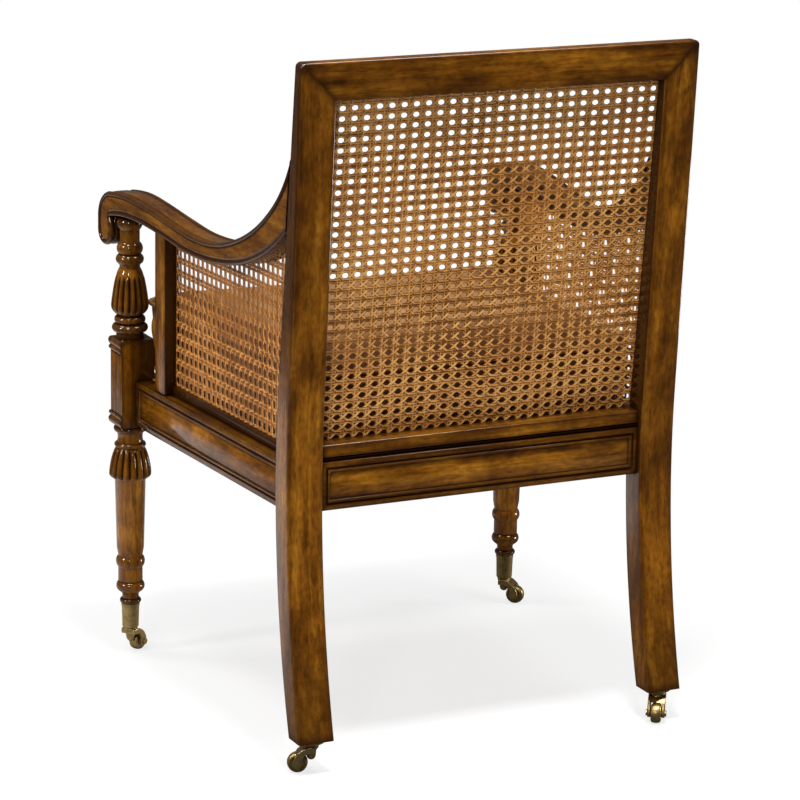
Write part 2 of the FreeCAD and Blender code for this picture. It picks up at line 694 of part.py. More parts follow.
def make_front_leg(tag, side):
    """Turned leg with a square block at the seat, banded and reeded on its outer and front faces."""
    place = Vector(side * size("front_leg_x"), size("front_leg_y"), 0)
    body = new_body("front_leg_blank_" + tag, Placement(place, Rotation()))
    revolve(body, turned_profile())
    half, band = BLOCK_HALF, size("band_height")
    face, rim = half - size("block_face_inset"), half + size("band_projection")
    base = size("block_bottom")
    levels = [(base, face, "Sizes.block_height"), (base, rim, "Sizes.band_height")]
    levels.append((BLOCK_TOP - band, rim, "Sizes.band_height"))
    for level, reach, height in levels:
        plan = new_sketch(body, "XY_Plane", level)
        rectangle(plan, min(-side * half, side * reach), -reach, max(-side * half, side * reach), half)
        pad(body, plan, height)
    reeds = new_sketch(body, "XY_Plane", base + band)
    wide, bulge = size("reed_width"), face + size("reed_projection")
    for step in (-1, 0, 1):
        low, middle, high = (step - 0.5) * wide, step * wide, (step + 0.5) * wide
        draw(reeds, Outline(low, -face).arc((middle, -bulge), (high, -face)).close())
        draw(reeds, Outline(side * face, low).arc((side * bulge, middle), (side * face, high)).close())
    pad(body, reeds, "Sizes.block_height - 2 * Sizes.band_height")
    holes = tenons(side, ["side_front", "front_rail"], "mortise")
    holes.append(cup_nail("front_" + tag, size("joint_clearance")))
    return cut("front_leg_" + tag, body, holes)


def make_side_upright(tag, side):
    """Post behind the front leg that holds the side cane, with a rounded ear at its front."""
    body = new_body("side_upright_" + tag, side_placement(side))
    start, depth = size("upright_distance"), size("upright_depth")
    ear, ear_top = size("upright_ear"), RAIL_TOP + size("upright_ear_height")
    drop = size("arm_seat_gap")
    y_front = BLOCK_REAR_Y + start * math.cos(SPLAY)
    y_rear = BLOCK_REAR_Y + (start + depth) * math.cos(SPLAY)
    sketch = new_sketch(body, "XZ_Plane", -side * size("upright_inset"))
    path = Outline(start, RAIL_TOP).line(start + depth, RAIL_TOP)
    path.line(start + depth, arm_underside(y_rear, drop)).line(start, arm_underside(y_front, drop))
    path.line(start, ear_top + ear).arc((start - 0.8 * ear, ear_top), (start - 0.8 * ear, ear_top - ear))
    path.line(start, ear_top - 2.4 * ear)
    draw(sketch, path.close())
    pad(body, sketch, "Sizes.upright_thickness", reverse=side > 0)
    return body


def make_side_panel_rail(tag, side):
    """Narrow rail under the side cane."""
    body = new_body("side_panel_rail_" + tag, side_placement(side))
    start = size("Sizes.upright_distance + Sizes.upright_depth")
    inset = size("Sizes.upright_inset + Sizes.upright_thickness - Sizes.panel_rail_thickness")
    end = along(size("waist_front_y") - size("joint_clearance"), inset)
    sketch = new_sketch(body, "XZ_Plane", -side * inset)
    rectangle(sketch, start, RAIL_TOP, end, RAIL_TOP + size("panel_rail_height"))
    pad(body, sketch, "Sizes.panel_rail_thickness", reverse=side > 0)
    return body


def cut_openings(body, offset, left, right, low, columns, top_at):
    """Cut a plain grid of square openings through a cane sheet.

    The grid starts at the lower left corner, and top_at is the sheet's height at a place along it.
    """
    pitch = (right - left) / columns
    half = size("cane_opening_share") * pitch / 2
    sketch = new_sketch(body, "XZ_Plane", offset)
    for column in range(columns):
        middle = left + (column + 0.5) * pitch
        rows = int((min(top_at(middle - half), top_at(middle + half)) - low) / pitch)
        for row in range(rows):
            level = low + (row + 0.5) * pitch
            path = Outline(middle - half, level - half).line(middle + half, level - half)
            path.line(middle + half, level + half).line(middle - half, level + half)
            draw(sketch, path.close())
    pocket(body, sketch, midplane=True)


def make_side_cane(tag, side):
    """Sheet of cane between upright, stile, panel rail and arm."""
    body = new_body("side_cane_" + tag, side_placement(side))
    start = size("Sizes.upright_distance + Sizes.upright_depth")
    bottom, gap = RAIL_TOP + size("panel_rail_height"), size("arm_seat_gap")
    y_start = BLOCK_REAR_Y + start * math.cos(SPLAY)
    y_end = front_face(size("arm_bottom_at_stile")) - 5 * gap
    top = arm_underside(y_end, gap)
    inset = size("side_cane_inset")
    path = Outline(start, bottom)
    rise = [bottom + (top - bottom) * step / 5 for step in range(6)]
    path.line(along(front_face(bottom) - gap, inset), bottom)
    path.spline([(along(front_face(z) - gap, inset), z) for z in rise[1:-1]])
    path.line(along(y_end, inset), top)
    depths = [y_end + (y_start - y_end) * step / 12 for step in range(1, 12)]
    under = [(along(y, inset), arm_underside(y, gap)) for y in depths]
    path.spline(under + [(start, arm_underside(y_start, gap))])
    sketch = new_sketch(body, "XZ_Plane", -side * inset)
    draw(sketch, path.close())
    pad(body, sketch, "Sizes.cane_thickness", reverse=side > 0)
    run_end, columns = along(front_face(bottom) - gap, inset), int(size("side_cane_columns"))
    slope = (along(y_end, inset) - start) / (y_end - y_start)
    cut_openings(body, -side * inset, start, run_end, bottom, columns,
                 lambda run: arm_underside(y_start + (run - start) / slope, gap))
    return body


def make_back_cane():
    """Sheet of cane in the back, raked with the stiles' front faces."""
    lean = math.radians(size("front_lean"))
    body = new_body("back_cane")
    set_back = size("cane_set_back")
    top = CREST_BOTTOM - size("joint_clearance")
    low = BACK_RAIL_TOP + size("joint_clearance")
    y_top = front_face(top) + set_back
    y_low = y_top - (top - low) * math.tan(lean)
    thick = size("cane_thickness") / math.cos(lean)
    sketch = new_sketch(body, "YZ_Plane")
    path = Outline(y_low, low).line(y_low + thick, low).line(y_top + thick, top).line(y_top, top)
    draw(sketch, path.close())
    pad(body, sketch, "2 * (Sizes.rear_leg_inner - Sizes.joint_clearance)", midplane=True)
    half_width = size("Sizes.rear_leg_inner - Sizes.joint_clearance")
    cut_openings(body, 0.0, -half_width, half_width, low, int(size("back_cane_columns")),
                 lambda across: top + size("joint_clearance"))
    return body


def make_seat_cane():
    """Caned seat that lies on the inner edges of the rails."""
    body = new_body("seat_cane")
    front = BLOCK_REAR_Y - size("seat_cane_front_landing")
    rear = size("waist_front_y") - size("cushion_clearance")
    inset = size("Sizes.side_rail_thickness - Sizes.seat_cane_landing")
    sketch = new_sketch(body, "XY_Plane", RAIL_TOP)
    half_front, half_rear = rail_outer(BLOCK_REAR_Y) - inset, rail_outer(rear) - inset
    path = Outline(-half_front, front).line(half_front, front).line(half_front, BLOCK_REAR_Y)
    path.line(half_rear, rear).line(-half_rear, rear).line(-half_front, BLOCK_REAR_Y)
    draw(sketch, path.close())
    pad(body, sketch, "Sizes.seat_cane_thickness")
    return body


def cushion_section(inset, level):
    """Plan of the cushion drawn in by an inset, with rounded corners, at a height."""
    rear = size("Sizes.waist_front_y - Sizes.cushion_rear_gap") - inset
    front = CUSHION_FRONT_Y + inset
    side_inset = size("cushion_side_inset") + inset
    half_front, half_rear = rail_outer(front) - side_inset, rail_outer(rear) - side_inset
    corners = [(-half_front, front), (half_front, front), (half_rear, rear), (-half_rear, rear)]
    radius = size("cushion_corner_radius")
    turns = []
    for index, corner in enumerate(corners):
        here = Vector(*corner, level)
        before = (Vector(*corners[index - 1], level) - here).normalize()
        after = (Vector(*corners[(index + 1) % 4], level) - here).normalize()
        half_angle = before.getAngle(after) / 2
        reach = radius / math.tan(half_angle)
        bisector = (before + after).normalize()
        middle = here + bisector * (radius / math.sin(half_angle) - radius)
        turns.append((here + before * reach, middle, here + after * reach))
    edges = []
    for (begin, middle, end), following in zip(turns, turns[1:] + turns[:1]):
        edges.append(Part.Arc(begin, middle, end).toShape())
        edges.append(Part.LineSegment(end, following[0]).toShape())
    return Part.Wire(edges)


def make_seat_cushion():
    """Loose box cushion with a crowned top, drawn-in sides and swelled edges."""
    base = RAIL_TOP + size("seat_cane_thickness") + size("cushion_clearance")
    deep = size("cushion_thickness")
    steps = [(14.0, 0.0), (0.0, 0.11), (5.0, 0.45), (0.0, 0.8), (34.0, 0.94), (120.0, 1.0)]
    sections = [cushion_section(inset, base + share * deep) for inset, share in steps]
    cushion = doc.addObject("Part::Feature", "seat_cushion")
    cushion.Label = "seat_cushion"
    cushion.Shape = Part.makeLoft(sections, True, True)
    return cushion


def make_corner_block(tag, side, end):
    """Three-cornered glue block in one corner of the seat frame."""
    leg, gap = size("corner_block_leg"), size("joint_clearance")
    y_wall = size("waist_front_y") - gap if end == "rear" else BLOCK_REAR_Y + gap
    y_far = y_wall - leg if end == "rear" else y_wall + leg
    thick = size("side_rail_thickness") + gap
    body = new_body(f"corner_block_blank_{end}_{tag}")
    sketch = new_sketch(body, "XY_Plane", RAIL_MIDDLE - size("corner_block_height") / 2)
    x_wall, x_far = rail_outer(y_wall) - thick, rail_outer(y_far) - thick
    path = Outline(side * x_wall, y_wall).line(side * x_far, y_far).line(side * (x_wall - leg), y_wall)
    draw(sketch, path.close())
    pad(body, sketch, "Sizes.corner_block_height")
    return cut(f"corner_block_{end}_{tag}", body, [corner_screw(side, end, gap)])


def corner_screw(side, end, grow=0.0):
    """Screw through a corner block into the side rail, or with grow the hole for it."""
    leg, half_rail = size("corner_block_leg"), size("side_rail_thickness") / 2
    share = size("screw_place")
    y = size("waist_front_y") - share * leg if end == "rear" else BLOCK_REAR_Y + share * leg
    x = side * (rail_outer(y) - half_rail)
    length = "Sizes.side_rail_thickness / 2 + (1 - Sizes.screw_place) * Sizes.corner_block_leg"
    length += " - Sizes.screw_head_depth"
    if grow == 0:
        return rod("corner_screw", "Sizes.screw_radius", length, (x, y, RAIL_MIDDLE), (-side, 0, 0))
    hole = "Sizes.screw_radius + Sizes.joint_clearance"
    length += " + Sizes.screw_hole_overrun"
    return rod("corner_screw_hole", hole, length, (x + side * grow, y, RAIL_MIDDLE), (-side, 0, 0))


def castor_frame(name):
    """Castor's own frame: swivel axis upright at the origin, trailing along +X."""
    return Placement(castor_place(name), Rotation(Vector(0, 0, 1), CASTOR_ANGLES[name]))


def make_castor_cup(name):
    """Tapered brass cup that the front leg's plug stands in."""
    body = new_body("castor_cup_blank_" + name, Placement(castor_place(name), Rotation()))
    low, high = size("swivel_height"), size("cup_top")
    floor = low + size("cup_floor")
    bore = size("Sizes.pintle_radius + Sizes.running_clearance")
    top_r, low_r, gap = size("cup_top_radius"), size("cup_bottom_radius"), size("joint_clearance")
    edge, rim, lip = size("cup_edge_radius"), size("cup_rim"), size("cup_rim_projection")
    path = Outline(bore, low).line(low_r - edge, low)
    path.arc((low_r - 0.3 * edge, low + 0.3 * edge), (low_r, low + edge))
    path.line(top_r - lip, high - rim - lip).line(top_r, high - rim).line(top_r, high)
    plug_top, plug_low = size("plug_top_radius") + gap, size("plug_bottom_radius") + gap
    path.line(plug_top, high).line(plug_low, floor).line(bore, floor)
    revolve(body, path.close())
    return cut("castor_cup_" + name, body, [cup_nail(name, gap)])


def make_castor_plate(name):
    """Round plate and collar screwed under a rear leg."""
    body = new_body("castor_plate_blank_" + name, Placement(castor_place(name), Rotation()))
    low, high = size("swivel_height"), size("rear_leg_bottom")
    bore = size("Sizes.pintle_radius + Sizes.running_clearance")
    plate, collar, thick = size("plate_radius"), size("collar_radius"), size("plate_thickness")
    path = Outline(bore, low).line(collar, low).line(collar, high - thick).line(plate, high - thick)
    path.line(plate, high).line(bore, high)
    revolve(body, path.close())
    return cut("castor_plate_" + name, body, plate_screws(name, size("joint_clearance")))


def plate_screws(name, grow=0.0):
    """Three screws round a rear castor plate."""
    place = castor_place(name)
    ring = size("Sizes.plate_radius + Sizes.collar_radius") / 2
    base = size("Sizes.rear_leg_bottom - Sizes.plate_thickness") - grow
    screws = []
    for step in range(3):
        angle = math.radians(120 * step - 90)
        start = (place.x + ring * math.cos(angle), place.y + ring * math.sin(angle), base)
        radius, length = f"Sizes.plate_screw_radius + {grow}", f"Sizes.plate_screw_length + {2 * grow}"
        screws.append(rod("plate_screw", radius, length, start, (0, 0, 1)))
    return screws


def make_castor_horn(name):
    """Forked horn that swivels on its pintle and trails the wheel behind the axis."""
    body = new_body("castor_horn_" + name, castor_frame(name))
    trail, hub, axle = size("trail"), size("hub_radius"), AXLE_HEIGHT
    boss_top = size("Sizes.swivel_height - Sizes.swivel_gap")
    crown = boss_top - size("boss_height")
    bridge = axle + size("wheel_radius") + size("fork_gap")
    back = size("boss_radius")
    cheek = new_sketch(body, "XZ_Plane")
    low = (trail - 0.71 * hub, axle - 0.71 * hub)
    high = (trail + 0.71 * hub, axle + 0.71 * hub)
    path = Outline(-back, crown).line(-back, bridge)
    path.arc((0.12 * trail, axle + 0.35 * hub), low)
    path.arc((trail + 0.71 * hub, axle - 0.71 * hub), high).line(back + 0.15 * trail, crown)
    draw(cheek, path.close())
    pad(body, cheek, 2 * CHEEK_OUTER, midplane=True)
    slot = new_sketch(body, "XZ_Plane")
    rectangle(slot, -2 * back, 0.0, trail + 4 * hub, bridge)
    pocket(body, slot, 2 * CHEEK_INNER, midplane=True)
    boss = new_sketch(body, "XY_Plane", crown)
    boss.addGeometry(Part.Circle(Vector(0, 0, 0), Vector(0, 0, 1), size("boss_radius")), False)
    pad(body, boss, "Sizes.boss_height")
    pintle = new_sketch(body, "XY_Plane", boss_top)
    pintle.addGeometry(Part.Circle(Vector(0, 0, 0), Vector(0, 0, 1), size("pintle_radius")), False)
    pad(body, pintle, "Sizes.pintle_length")
    bore = new_sketch(body, "XZ_Plane")
    hole = size("Sizes.axle_radius + Sizes.running_clearance")
    bore.addGeometry(Part.Circle(Vector(trail, axle, 0), Vector(0, 0, 1), hole), False)
    pocket(body, bore, midplane=True)
    return body


def make_castor_axle(name):
    """Pin with a head on each side that carries the wheel in the fork."""
    body = new_body("castor_axle_" + name, castor_frame(name))
    reach = CHEEK_OUTER + size("joint_clearance")
    parts = [(size("axle_radius"), 2 * reach, 0.0)]
    head = size("pin_head_length")
    parts += [(size("pin_head_radius"), head, sign * (reach + head / 2)) for sign in (-1, 1)]
    for radius, length, middle in parts:
        sketch = new_sketch(body, "XZ_Plane", -middle)
        circle = Part.Circle(Vector(size("trail"), AXLE_HEIGHT, 0), Vector(0, 0, 1), radius)
        sketch.addGeometry(circle, False)
        pad(body, sketch, length, midplane=True)
    return body


def make_castor_wheel(name):
    """Wheel with a rounded tread."""
    body = new_body("castor_wheel_" + name, castor_frame(name))
    radius, half = size("wheel_radius"), size("wheel_width") / 2
    bore = size("Sizes.axle_radius + Sizes.running_clearance")
    sketch = new_sketch(body, "YZ_Plane", size("trail"))
    shoulder = AXLE_HEIGHT + radius - size("tread_crown")
    path = Outline(-half, AXLE_HEIGHT + bore).line(half, AXLE_HEIGHT + bore).line(half, shoulder)
    path.arc((0, AXLE_HEIGHT + radius), (-half, shoulder))
    draw(sketch, path.close())
    sketch.addGeometry(Part.LineSegment(Vector(-half, AXLE_HEIGHT, 0), Vector(half, AXLE_HEIGHT, 0)), True)
    feature = body.newObject("PartDesign::Revolution", body.Name + "_turning")
    feature.Profile = sketch
    feature.ReferenceAxis = (sketch, ["Axis0"])
    feature.Angle = 360
    return body


def cup_nail(name, grow=0.0):
    """Nail through a front castor cup into the leg's plug, or with grow the hole for it."""
    place = castor_place(name)
    base = (place.x, place.y + size("nail_start") - grow, size("Sizes.cup_top - Sizes.nail_drop"))
    length = f"Sizes.nail_length + {20 * grow}"
    return rod("cup_nail", f"Sizes.nail_radius + {grow}", length, base, (0, 1, 0))


pieces = []
for tag, side in SIDES.items():
    pieces.append(make_rear_leg(tag, side))
    pieces.append(make_front_leg(tag, side))
    pieces.append(make_side_seat_rail(tag, side))
    pieces.append(make_arm(tag, side))
    pieces.append(make_side_upright(tag, side))
    pieces.append(make_side_panel_rail(tag, side))
    pieces.append(make_side_cane(tag, side))
    for end in ("front", "rear"):
        pieces.append(make_corner_block(tag, side, end))
pieces.append(make_crest_rail())
pieces.append(make_back_lower_rail())
pieces.append(make_rear_seat_rail())
pieces.append(make_front_seat_rail())
pieces.append(make_back_cane())
pieces.append(make_seat_cane())
pieces.append(make_seat_cushion())
for name in CASTOR_ANGLES:
    pieces.append(make_castor_cup(name) if name.startswith("front") else make_castor_plate(name))
    pieces.append(make_castor_horn(name))
    pieces.append(make_castor_axle(name))
    pieces.append(make_castor_wheel(name))
corner_screws = [corner_screw(side, end) for side in SIDES.values() for end in ("front", "rear")]
pieces.append(group("corner_block_screws", corner_screws))
pieces.append(group("crest_dowels", [crest_dowel_rods(side) for side in SIDES.values()]))
pieces.append(group("castor_plate_screws", plate_screws("rear_left") + plate_screws("rear_right")))
pieces.append(group("castor_cup_nails", [cup_nail("front_left"), cup_nail("front_right")]))

doc.recompute()
broken = [item.Label for item in doc.Objects if {"Invalid", "Error"} & set(item.State)]
broken += [piece.Label for piece in pieces if piece.Shape.isNull() or not piece.Shape.isValid()]
if broken:
    raise RuntimeError("these pieces failed: " + ", ".join(broken))

os.makedirs("parts", exist_ok=True)
for piece in pieces:
    piece.Shape.exportStep(f"parts/{piece.Label}.step")
    print(piece.Label, len(piece.Shape.Solids), "solids", round(piece.Shape.Volume / 1000, 1), "cm3")
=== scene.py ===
"""Caned library armchair: dressed pieces, their finishes, and the studio that shows them."""

import logging
import math
from contextlib import contextmanager
from dataclasses import dataclass, field
from enum import Enum
from typing import Any, Callable, ClassVar, Iterator, Sequence

import bpy
import numpy as np
from mathutils import Matrix, Vector


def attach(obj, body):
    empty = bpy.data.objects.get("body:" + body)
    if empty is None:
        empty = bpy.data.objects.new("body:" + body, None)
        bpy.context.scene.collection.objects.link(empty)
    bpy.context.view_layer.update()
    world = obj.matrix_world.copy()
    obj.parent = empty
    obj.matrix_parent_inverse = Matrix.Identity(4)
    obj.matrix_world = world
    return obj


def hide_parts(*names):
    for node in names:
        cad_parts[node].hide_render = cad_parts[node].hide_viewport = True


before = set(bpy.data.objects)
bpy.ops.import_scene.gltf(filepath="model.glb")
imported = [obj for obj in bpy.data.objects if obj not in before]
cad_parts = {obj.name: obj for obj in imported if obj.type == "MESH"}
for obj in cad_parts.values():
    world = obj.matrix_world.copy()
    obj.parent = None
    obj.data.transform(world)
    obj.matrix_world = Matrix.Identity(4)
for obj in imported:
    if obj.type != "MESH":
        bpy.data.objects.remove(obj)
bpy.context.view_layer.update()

log = logging.getLogger("armchair")

MM = 0.001
BODY = "frame"
LEG_X, LEG_Y = 303.5, -255.0
RAIL_TOP = 409.0
RAIL_FRONT, RAIL_REAR = -232.0, 215.5
BACK_HALF = 236.0
CANE_LOW, CREST_BOTTOM = 432.0, 889.0

Point = tuple[float, float, float]
Flat = tuple[float, float]
Colour = tuple[float, float, float, float]


class Side(Enum):
    """The sitter's left or right, as the sign of X."""

    LEFT = 1
    RIGHT = -1

    @property
    def tag(self) -> str:
        """Ending of the node names on this side."""
        return self.name.lower()


class Grain(Enum):
    """Axis that the wood's grain runs along, as the turn that brings it upright."""

    ACROSS = (0.0, math.pi / 2, 0.0)
    DEEP = (math.pi / 2, 0.0, 0.0)
    UPRIGHT = (0.0, 0.0, 0.0)


def fade(value: float, start: float, end: float) -> float:
    """Share of the way from start to end, kept between 0 and 1."""
    return min(max((value - start) / (end - start), 0.0), 1.0)


def deselect_all() -> None:
    """Leave edit mode and select nothing."""
    if bpy.context.mode != "OBJECT":
        bpy.ops.object.mode_set(mode="OBJECT")
    bpy.ops.object.select_all(action="DESELECT")


def arc_points(start: Flat, middle: Flat, end: Flat, steps: int) -> list[Flat]:
    """Points on the arc through three points.

    Args:
        start: First point, left out of the result.
        middle: A point on the arc.
        end: Last point, kept.
        steps: Number of points.

    Returns:
        The points after the first.
    """
    (ax, ay), (bx, by), (cx, cy) = start, middle, end
    d = 2 * (ax * (by - cy) + bx * (cy - ay) + cx * (ay - by))
    a2, b2, c2 = ax * ax + ay * ay, bx * bx + by * by, cx * cx + cy * cy
    ux = (a2 * (by - cy) + b2 * (cy - ay) + c2 * (ay - by)) / d
    uy = (a2 * (cx - bx) + b2 * (ax - cx) + c2 * (bx - ax)) / d
    radius = math.hypot(ax - ux, ay - uy)
    first, mid, last = (math.atan2(y - uy, x - ux) for x, y in (start, middle, end))
    turn = (last - first) % (2 * math.pi)
    if (mid - first) % (2 * math.pi) > turn:
        turn -= 2 * math.pi
    angles = [first + turn * (step + 1) / steps for step in range(steps)]
    return [(ux + radius * math.cos(a), uy + radius * math.sin(a)) for a in angles]


def smooth_points(stops: Sequence[Flat], steps: int) -> list[Flat]:
    """Points on a smooth curve through the stops.

    Args:
        stops: Points that the curve goes through.
        steps: Points in each span.

    Returns:
        The points after the first stop.
    """
    spots = np.array(stops, dtype=float)
    knots = np.concatenate([[0.0], np.cumsum(np.linalg.norm(np.diff(spots, axis=0), axis=1))])
    slopes = np.gradient(spots, knots, axis=0, edge_order=2)
    result = []
    for index in range(len(spots) - 1):
        span = knots[index + 1] - knots[index]
        for step in range(1, steps + 1):
            t = step / steps
            place = (2 * t**3 - 3 * t**2 + 1) * spots[index] + (3 * t**2 - 2 * t**3) * spots[index + 1]
            lean = (t**3 - 2 * t**2 + t) * slopes[index] + (t**3 - t**2) * slopes[index + 1]
            place = place + span * lean
            result.append((float(place[0]), float(place[1])))
    return result


class Bench:
    """One mesh on the workbench, shaped with the edit tools. Its sizes are millimetres."""

    def __init__(self, piece: bpy.types.Object) -> None:
        """Take up a mesh object."""
        self.piece = piece
        self.ring = np.zeros((0, 3))

    @classmethod
    def take(cls, name: str) -> "Bench":
        """Take up the object that an operator has just made and name it."""
        return cls(bpy.context.object).call(name)

    def call(self, name: str) -> "Bench":
        """Name the piece and its mesh."""
        self.piece.name = self.mesh.name = name
        return self

    @classmethod
    def outline(cls, name: str, points: Sequence[Point]) -> "Bench":
        """Start from a filled circle whose corners go to the given points.

        Args:
            name: Piece name.
            points: Corners in order.

        Returns:
            The bench with its one face selected.
        """
        deselect_all()
        bpy.ops.mesh.primitive_circle_add(vertices=len(points), radius=1.0, fill_type="NGON")
        bench = cls.take(name)
        bench.ring = np.array(points, dtype=float)
        bench.place(bench.ring)
        bench.pick(lambda centre, normal: True)
        return bench

    @classmethod
    def loft(cls, name: str, sections: Sequence[Sequence[Point]]) -> "Bench":
        """Raise an outline through a run of sections, extruding from one to the next.

        Args:
            name: Piece name.
            sections: Rings with the same number of points.

        Returns:
            The closed piece.
        """
        bench = cls.outline(name, sections[0])
        for section in sections[1:]:
            bench.extrude_to(section)
        return bench.tidy()

    @classmethod
    def turning(cls, name: str, profile: Sequence[Flat], steps: int) -> "Bench":
        """Spin a profile of radius and height about the upright axis.

        Args:
            name: Piece name.
            profile: Radius and height, from bottom to top.
            steps: Number of steps round.

        Returns:
            The turned piece.
        """
        deselect_all()
        bpy.ops.mesh.primitive_circle_add(vertices=len(profile), radius=1.0, fill_type="NOTHING")
        bench = cls.take(name)
        bench.place(np.array([(radius, 0.0, height) for radius, height in profile]))
        ends = {0, len(profile) - 1}
        bench.unselect()
        for edge in bench.mesh.edges:
            edge.select = set(edge.vertices) == ends
        with bench.editing("EDGE"):
            bpy.ops.mesh.delete(type="EDGE")
            bpy.ops.mesh.select_all(action="SELECT")
            bpy.ops.mesh.spin(steps=steps, angle=2 * math.pi, center=(0, 0, 0), axis=(0, 0, 1))
        return bench.tidy()

    @classmethod
    def box(cls, name: str, low: Point, high: Point) -> "Bench":
        """Start from a cube between two corners.

        Args:
            name: Piece name.
            low: Lowest corner.
            high: Highest corner.

        Returns:
            The bench.
        """
        deselect_all()
        bpy.ops.mesh.primitive_cube_add(size=1.0)
        bench = cls.take(name)
        bench.place(np.where(bench.points() > 0, np.array(high), np.array(low)))
        return bench

    @property
    def mesh(self) -> bpy.types.Mesh:
        """The piece's mesh."""
        return self.piece.data

    def points(self) -> np.ndarray:
        """Every vertex, in millimetres.

        Returns:
            One row per vertex.
        """
        spots = np.empty(len(self.mesh.vertices) * 3)
        self.mesh.vertices.foreach_get("co", spots)
        return spots.reshape(-1, 3) / MM

    def place(self, spots: np.ndarray) -> None:
        """Move every vertex to its row of millimetres."""
        self.mesh.vertices.foreach_set("co", (spots * MM).ravel())
        self.mesh.update()

    def hold(self) -> None:
        """Select this piece alone and make it active."""
        deselect_all()
        self.piece.select_set(True)
        bpy.context.view_layer.objects.active = self.piece

    @contextmanager
    def editing(self, kind: str = "FACE") -> Iterator[None]:
        """Edit mode for a while, keeping the selection made before.

        Args:
            kind: Vertex, edge or face selection.

        Returns:
            A context that goes back to object mode at its end.
        """
        self.hold()
        kinds = ("VERT", "EDGE", "FACE")
        bpy.context.tool_settings.mesh_select_mode = tuple(kind == one for one in kinds)
        bpy.ops.object.mode_set(mode="EDIT")
        yield
        bpy.ops.object.mode_set(mode="OBJECT")

    def unselect(self) -> None:
        """Select nothing in the mesh."""
        for group in (self.mesh.vertices, self.mesh.edges, self.mesh.polygons):
            group.foreach_set("select", [False] * len(group))

    def pick(self, test: Callable[[Vector, Vector], bool]) -> None:
        """Select the faces that pass a test.

        Args:
            test: Takes a face's centre in millimetres and its normal.
        """
        self.unselect()
        for face in self.mesh.polygons:
            face.select = test(face.center / MM, face.normal)

    def extrude_to(self, section: Sequence[Point]) -> None:
        """Extrude the selected end face and move its corners to the next section.

        Args:
            section: Where the corners go, in the order of the last section.
        """
        with self.editing():
            bpy.ops.mesh.extrude_region_move(TRANSFORM_OT_translate={"value": (0.0, 0.0, 0.0)})
        ahead = np.array(section, dtype=float)
        for vertex in self.mesh.vertices:
            if vertex.select:
                gaps = np.linalg.norm(self.ring - np.array(vertex.co) / MM, axis=1)
                vertex.co = ahead[int(gaps.argmin())] * MM
        self.ring = ahead
        self.mesh.update()

    def inset(self, steps: Sequence[Flat]) -> None:
        """Inset the selected faces again and again.

        Args:
            steps: Width and rise of each inset.
        """
        with self.editing():
            for wide, rise in steps:
                bpy.ops.mesh.inset(thickness=wide * MM, depth=rise * MM, use_even_offset=True)

    def bisect(self, point: Point, normal: Point) -> "Bench":
        """Cut away what lies beyond a plane and close the cut.

        Args:
            point: A point of the plane.
            normal: Direction that is cut away.

        Returns:
            The same bench.
        """
        with self.editing():
            bpy.ops.mesh.select_all(action="SELECT")
            bpy.ops.mesh.bisect(plane_co=Vector(point) * MM, plane_no=normal, use_fill=True,
                                clear_outer=True)
        return self

    def modify(self, kind: str, **settings: Any) -> "Bench":
        """Add a modifier and apply it.

        Args:
            kind: Modifier type.
            settings: Its values.

        Returns:
            The same bench.
        """
        self.hold()
        modifier = self.piece.modifiers.new(kind.lower(), kind)
        for name, value in settings.items():
            setattr(modifier, name, value)
        bpy.ops.object.modifier_apply(modifier=modifier.name)
        return self

    def soften(self, width: float, segments: int = 2, angle: float = 32.0) -> "Bench":
        """Round the edges that are sharper than an angle in degrees."""
        return self.modify("BEVEL", width=width * MM, segments=segments, limit_method="ANGLE",
                           angle_limit=math.radians(angle), use_clamp_overlap=True)

    def join(self, *others: "Bench") -> "Bench":
        """Make other pieces part of this one.

        Args:
            others: Pieces that go in.

        Returns:
            The same bench.
        """
        self.hold()
        for other in others:
            other.piece.select_set(True)
        bpy.ops.object.join()
        return self

    def copy(self, name: str) -> "Bench":
        """A copy with its own mesh.

        Args:
            name: The copy's name.

        Returns:
            A bench with the copy.
        """
        self.hold()
        bpy.ops.object.duplicate(linked=False)
        return Bench.take(name)

    def shift(self, matrix: Matrix) -> "Bench":
        """Move the mesh itself, so that the object stays at the origin.

        Args:
            matrix: The move, in metres.

        Returns:
            The same bench.
        """
        self.mesh.transform(matrix)
        if matrix.determinant() < 0:
            self.mesh.flip_normals()
        self.mesh.update()
        return self

    def mirrored(self, name: str) -> "Bench":
        """A copy for the other side of the chair."""
        return self.copy(name).shift(Matrix.Scale(-1, 4, (1, 0, 0)))

    def tidy(self) -> "Bench":
        """Merge doubled vertices and turn the faces outward.

        Returns:
            The same bench.
        """
        with self.editing("VERT"):
            bpy.ops.mesh.select_all(action="SELECT")
            bpy.ops.mesh.remove_doubles(threshold=1e-6)
            bpy.ops.mesh.normals_make_consistent(inside=False)
        return self

    def smooth(self, angle: float = 38.0) -> "Bench":
        """Shade the gentle edges smooth.

        Args:
            angle: Edges sharper than this, in degrees, stay crisp.

        Returns:
            The same bench.
        """
        self.hold()
        bpy.ops.object.shade_smooth_by_angle(angle=math.radians(angle))
        return self

    def paint_shade(self, share: Callable[[Vector, Vector], float]) -> "Bench":
        """Darken some faces with painted shade, kept as a face attribute.

        Args:
            share: How dark a face is, from its middle in millimetres and its normal.

        Returns:
            The same bench.
        """
        shares = [share(face.center / MM, face.normal) for face in self.mesh.polygons]
        self.mesh.attributes.new("paint_shade", "FLOAT", "FACE").data.foreach_set("value", shares)
        return self

    def dress(self, finish: "Finish", grain: Grain = Grain.UPRIGHT) -> "Bench":
        """Give the piece its finish.

        Args:
            finish: What it is made of.
            grain: Axis of its grain.

        Returns:
            The same bench.
        """
        self.mesh.materials.clear()
        self.mesh.materials.append(finish.material(grain))
        return self

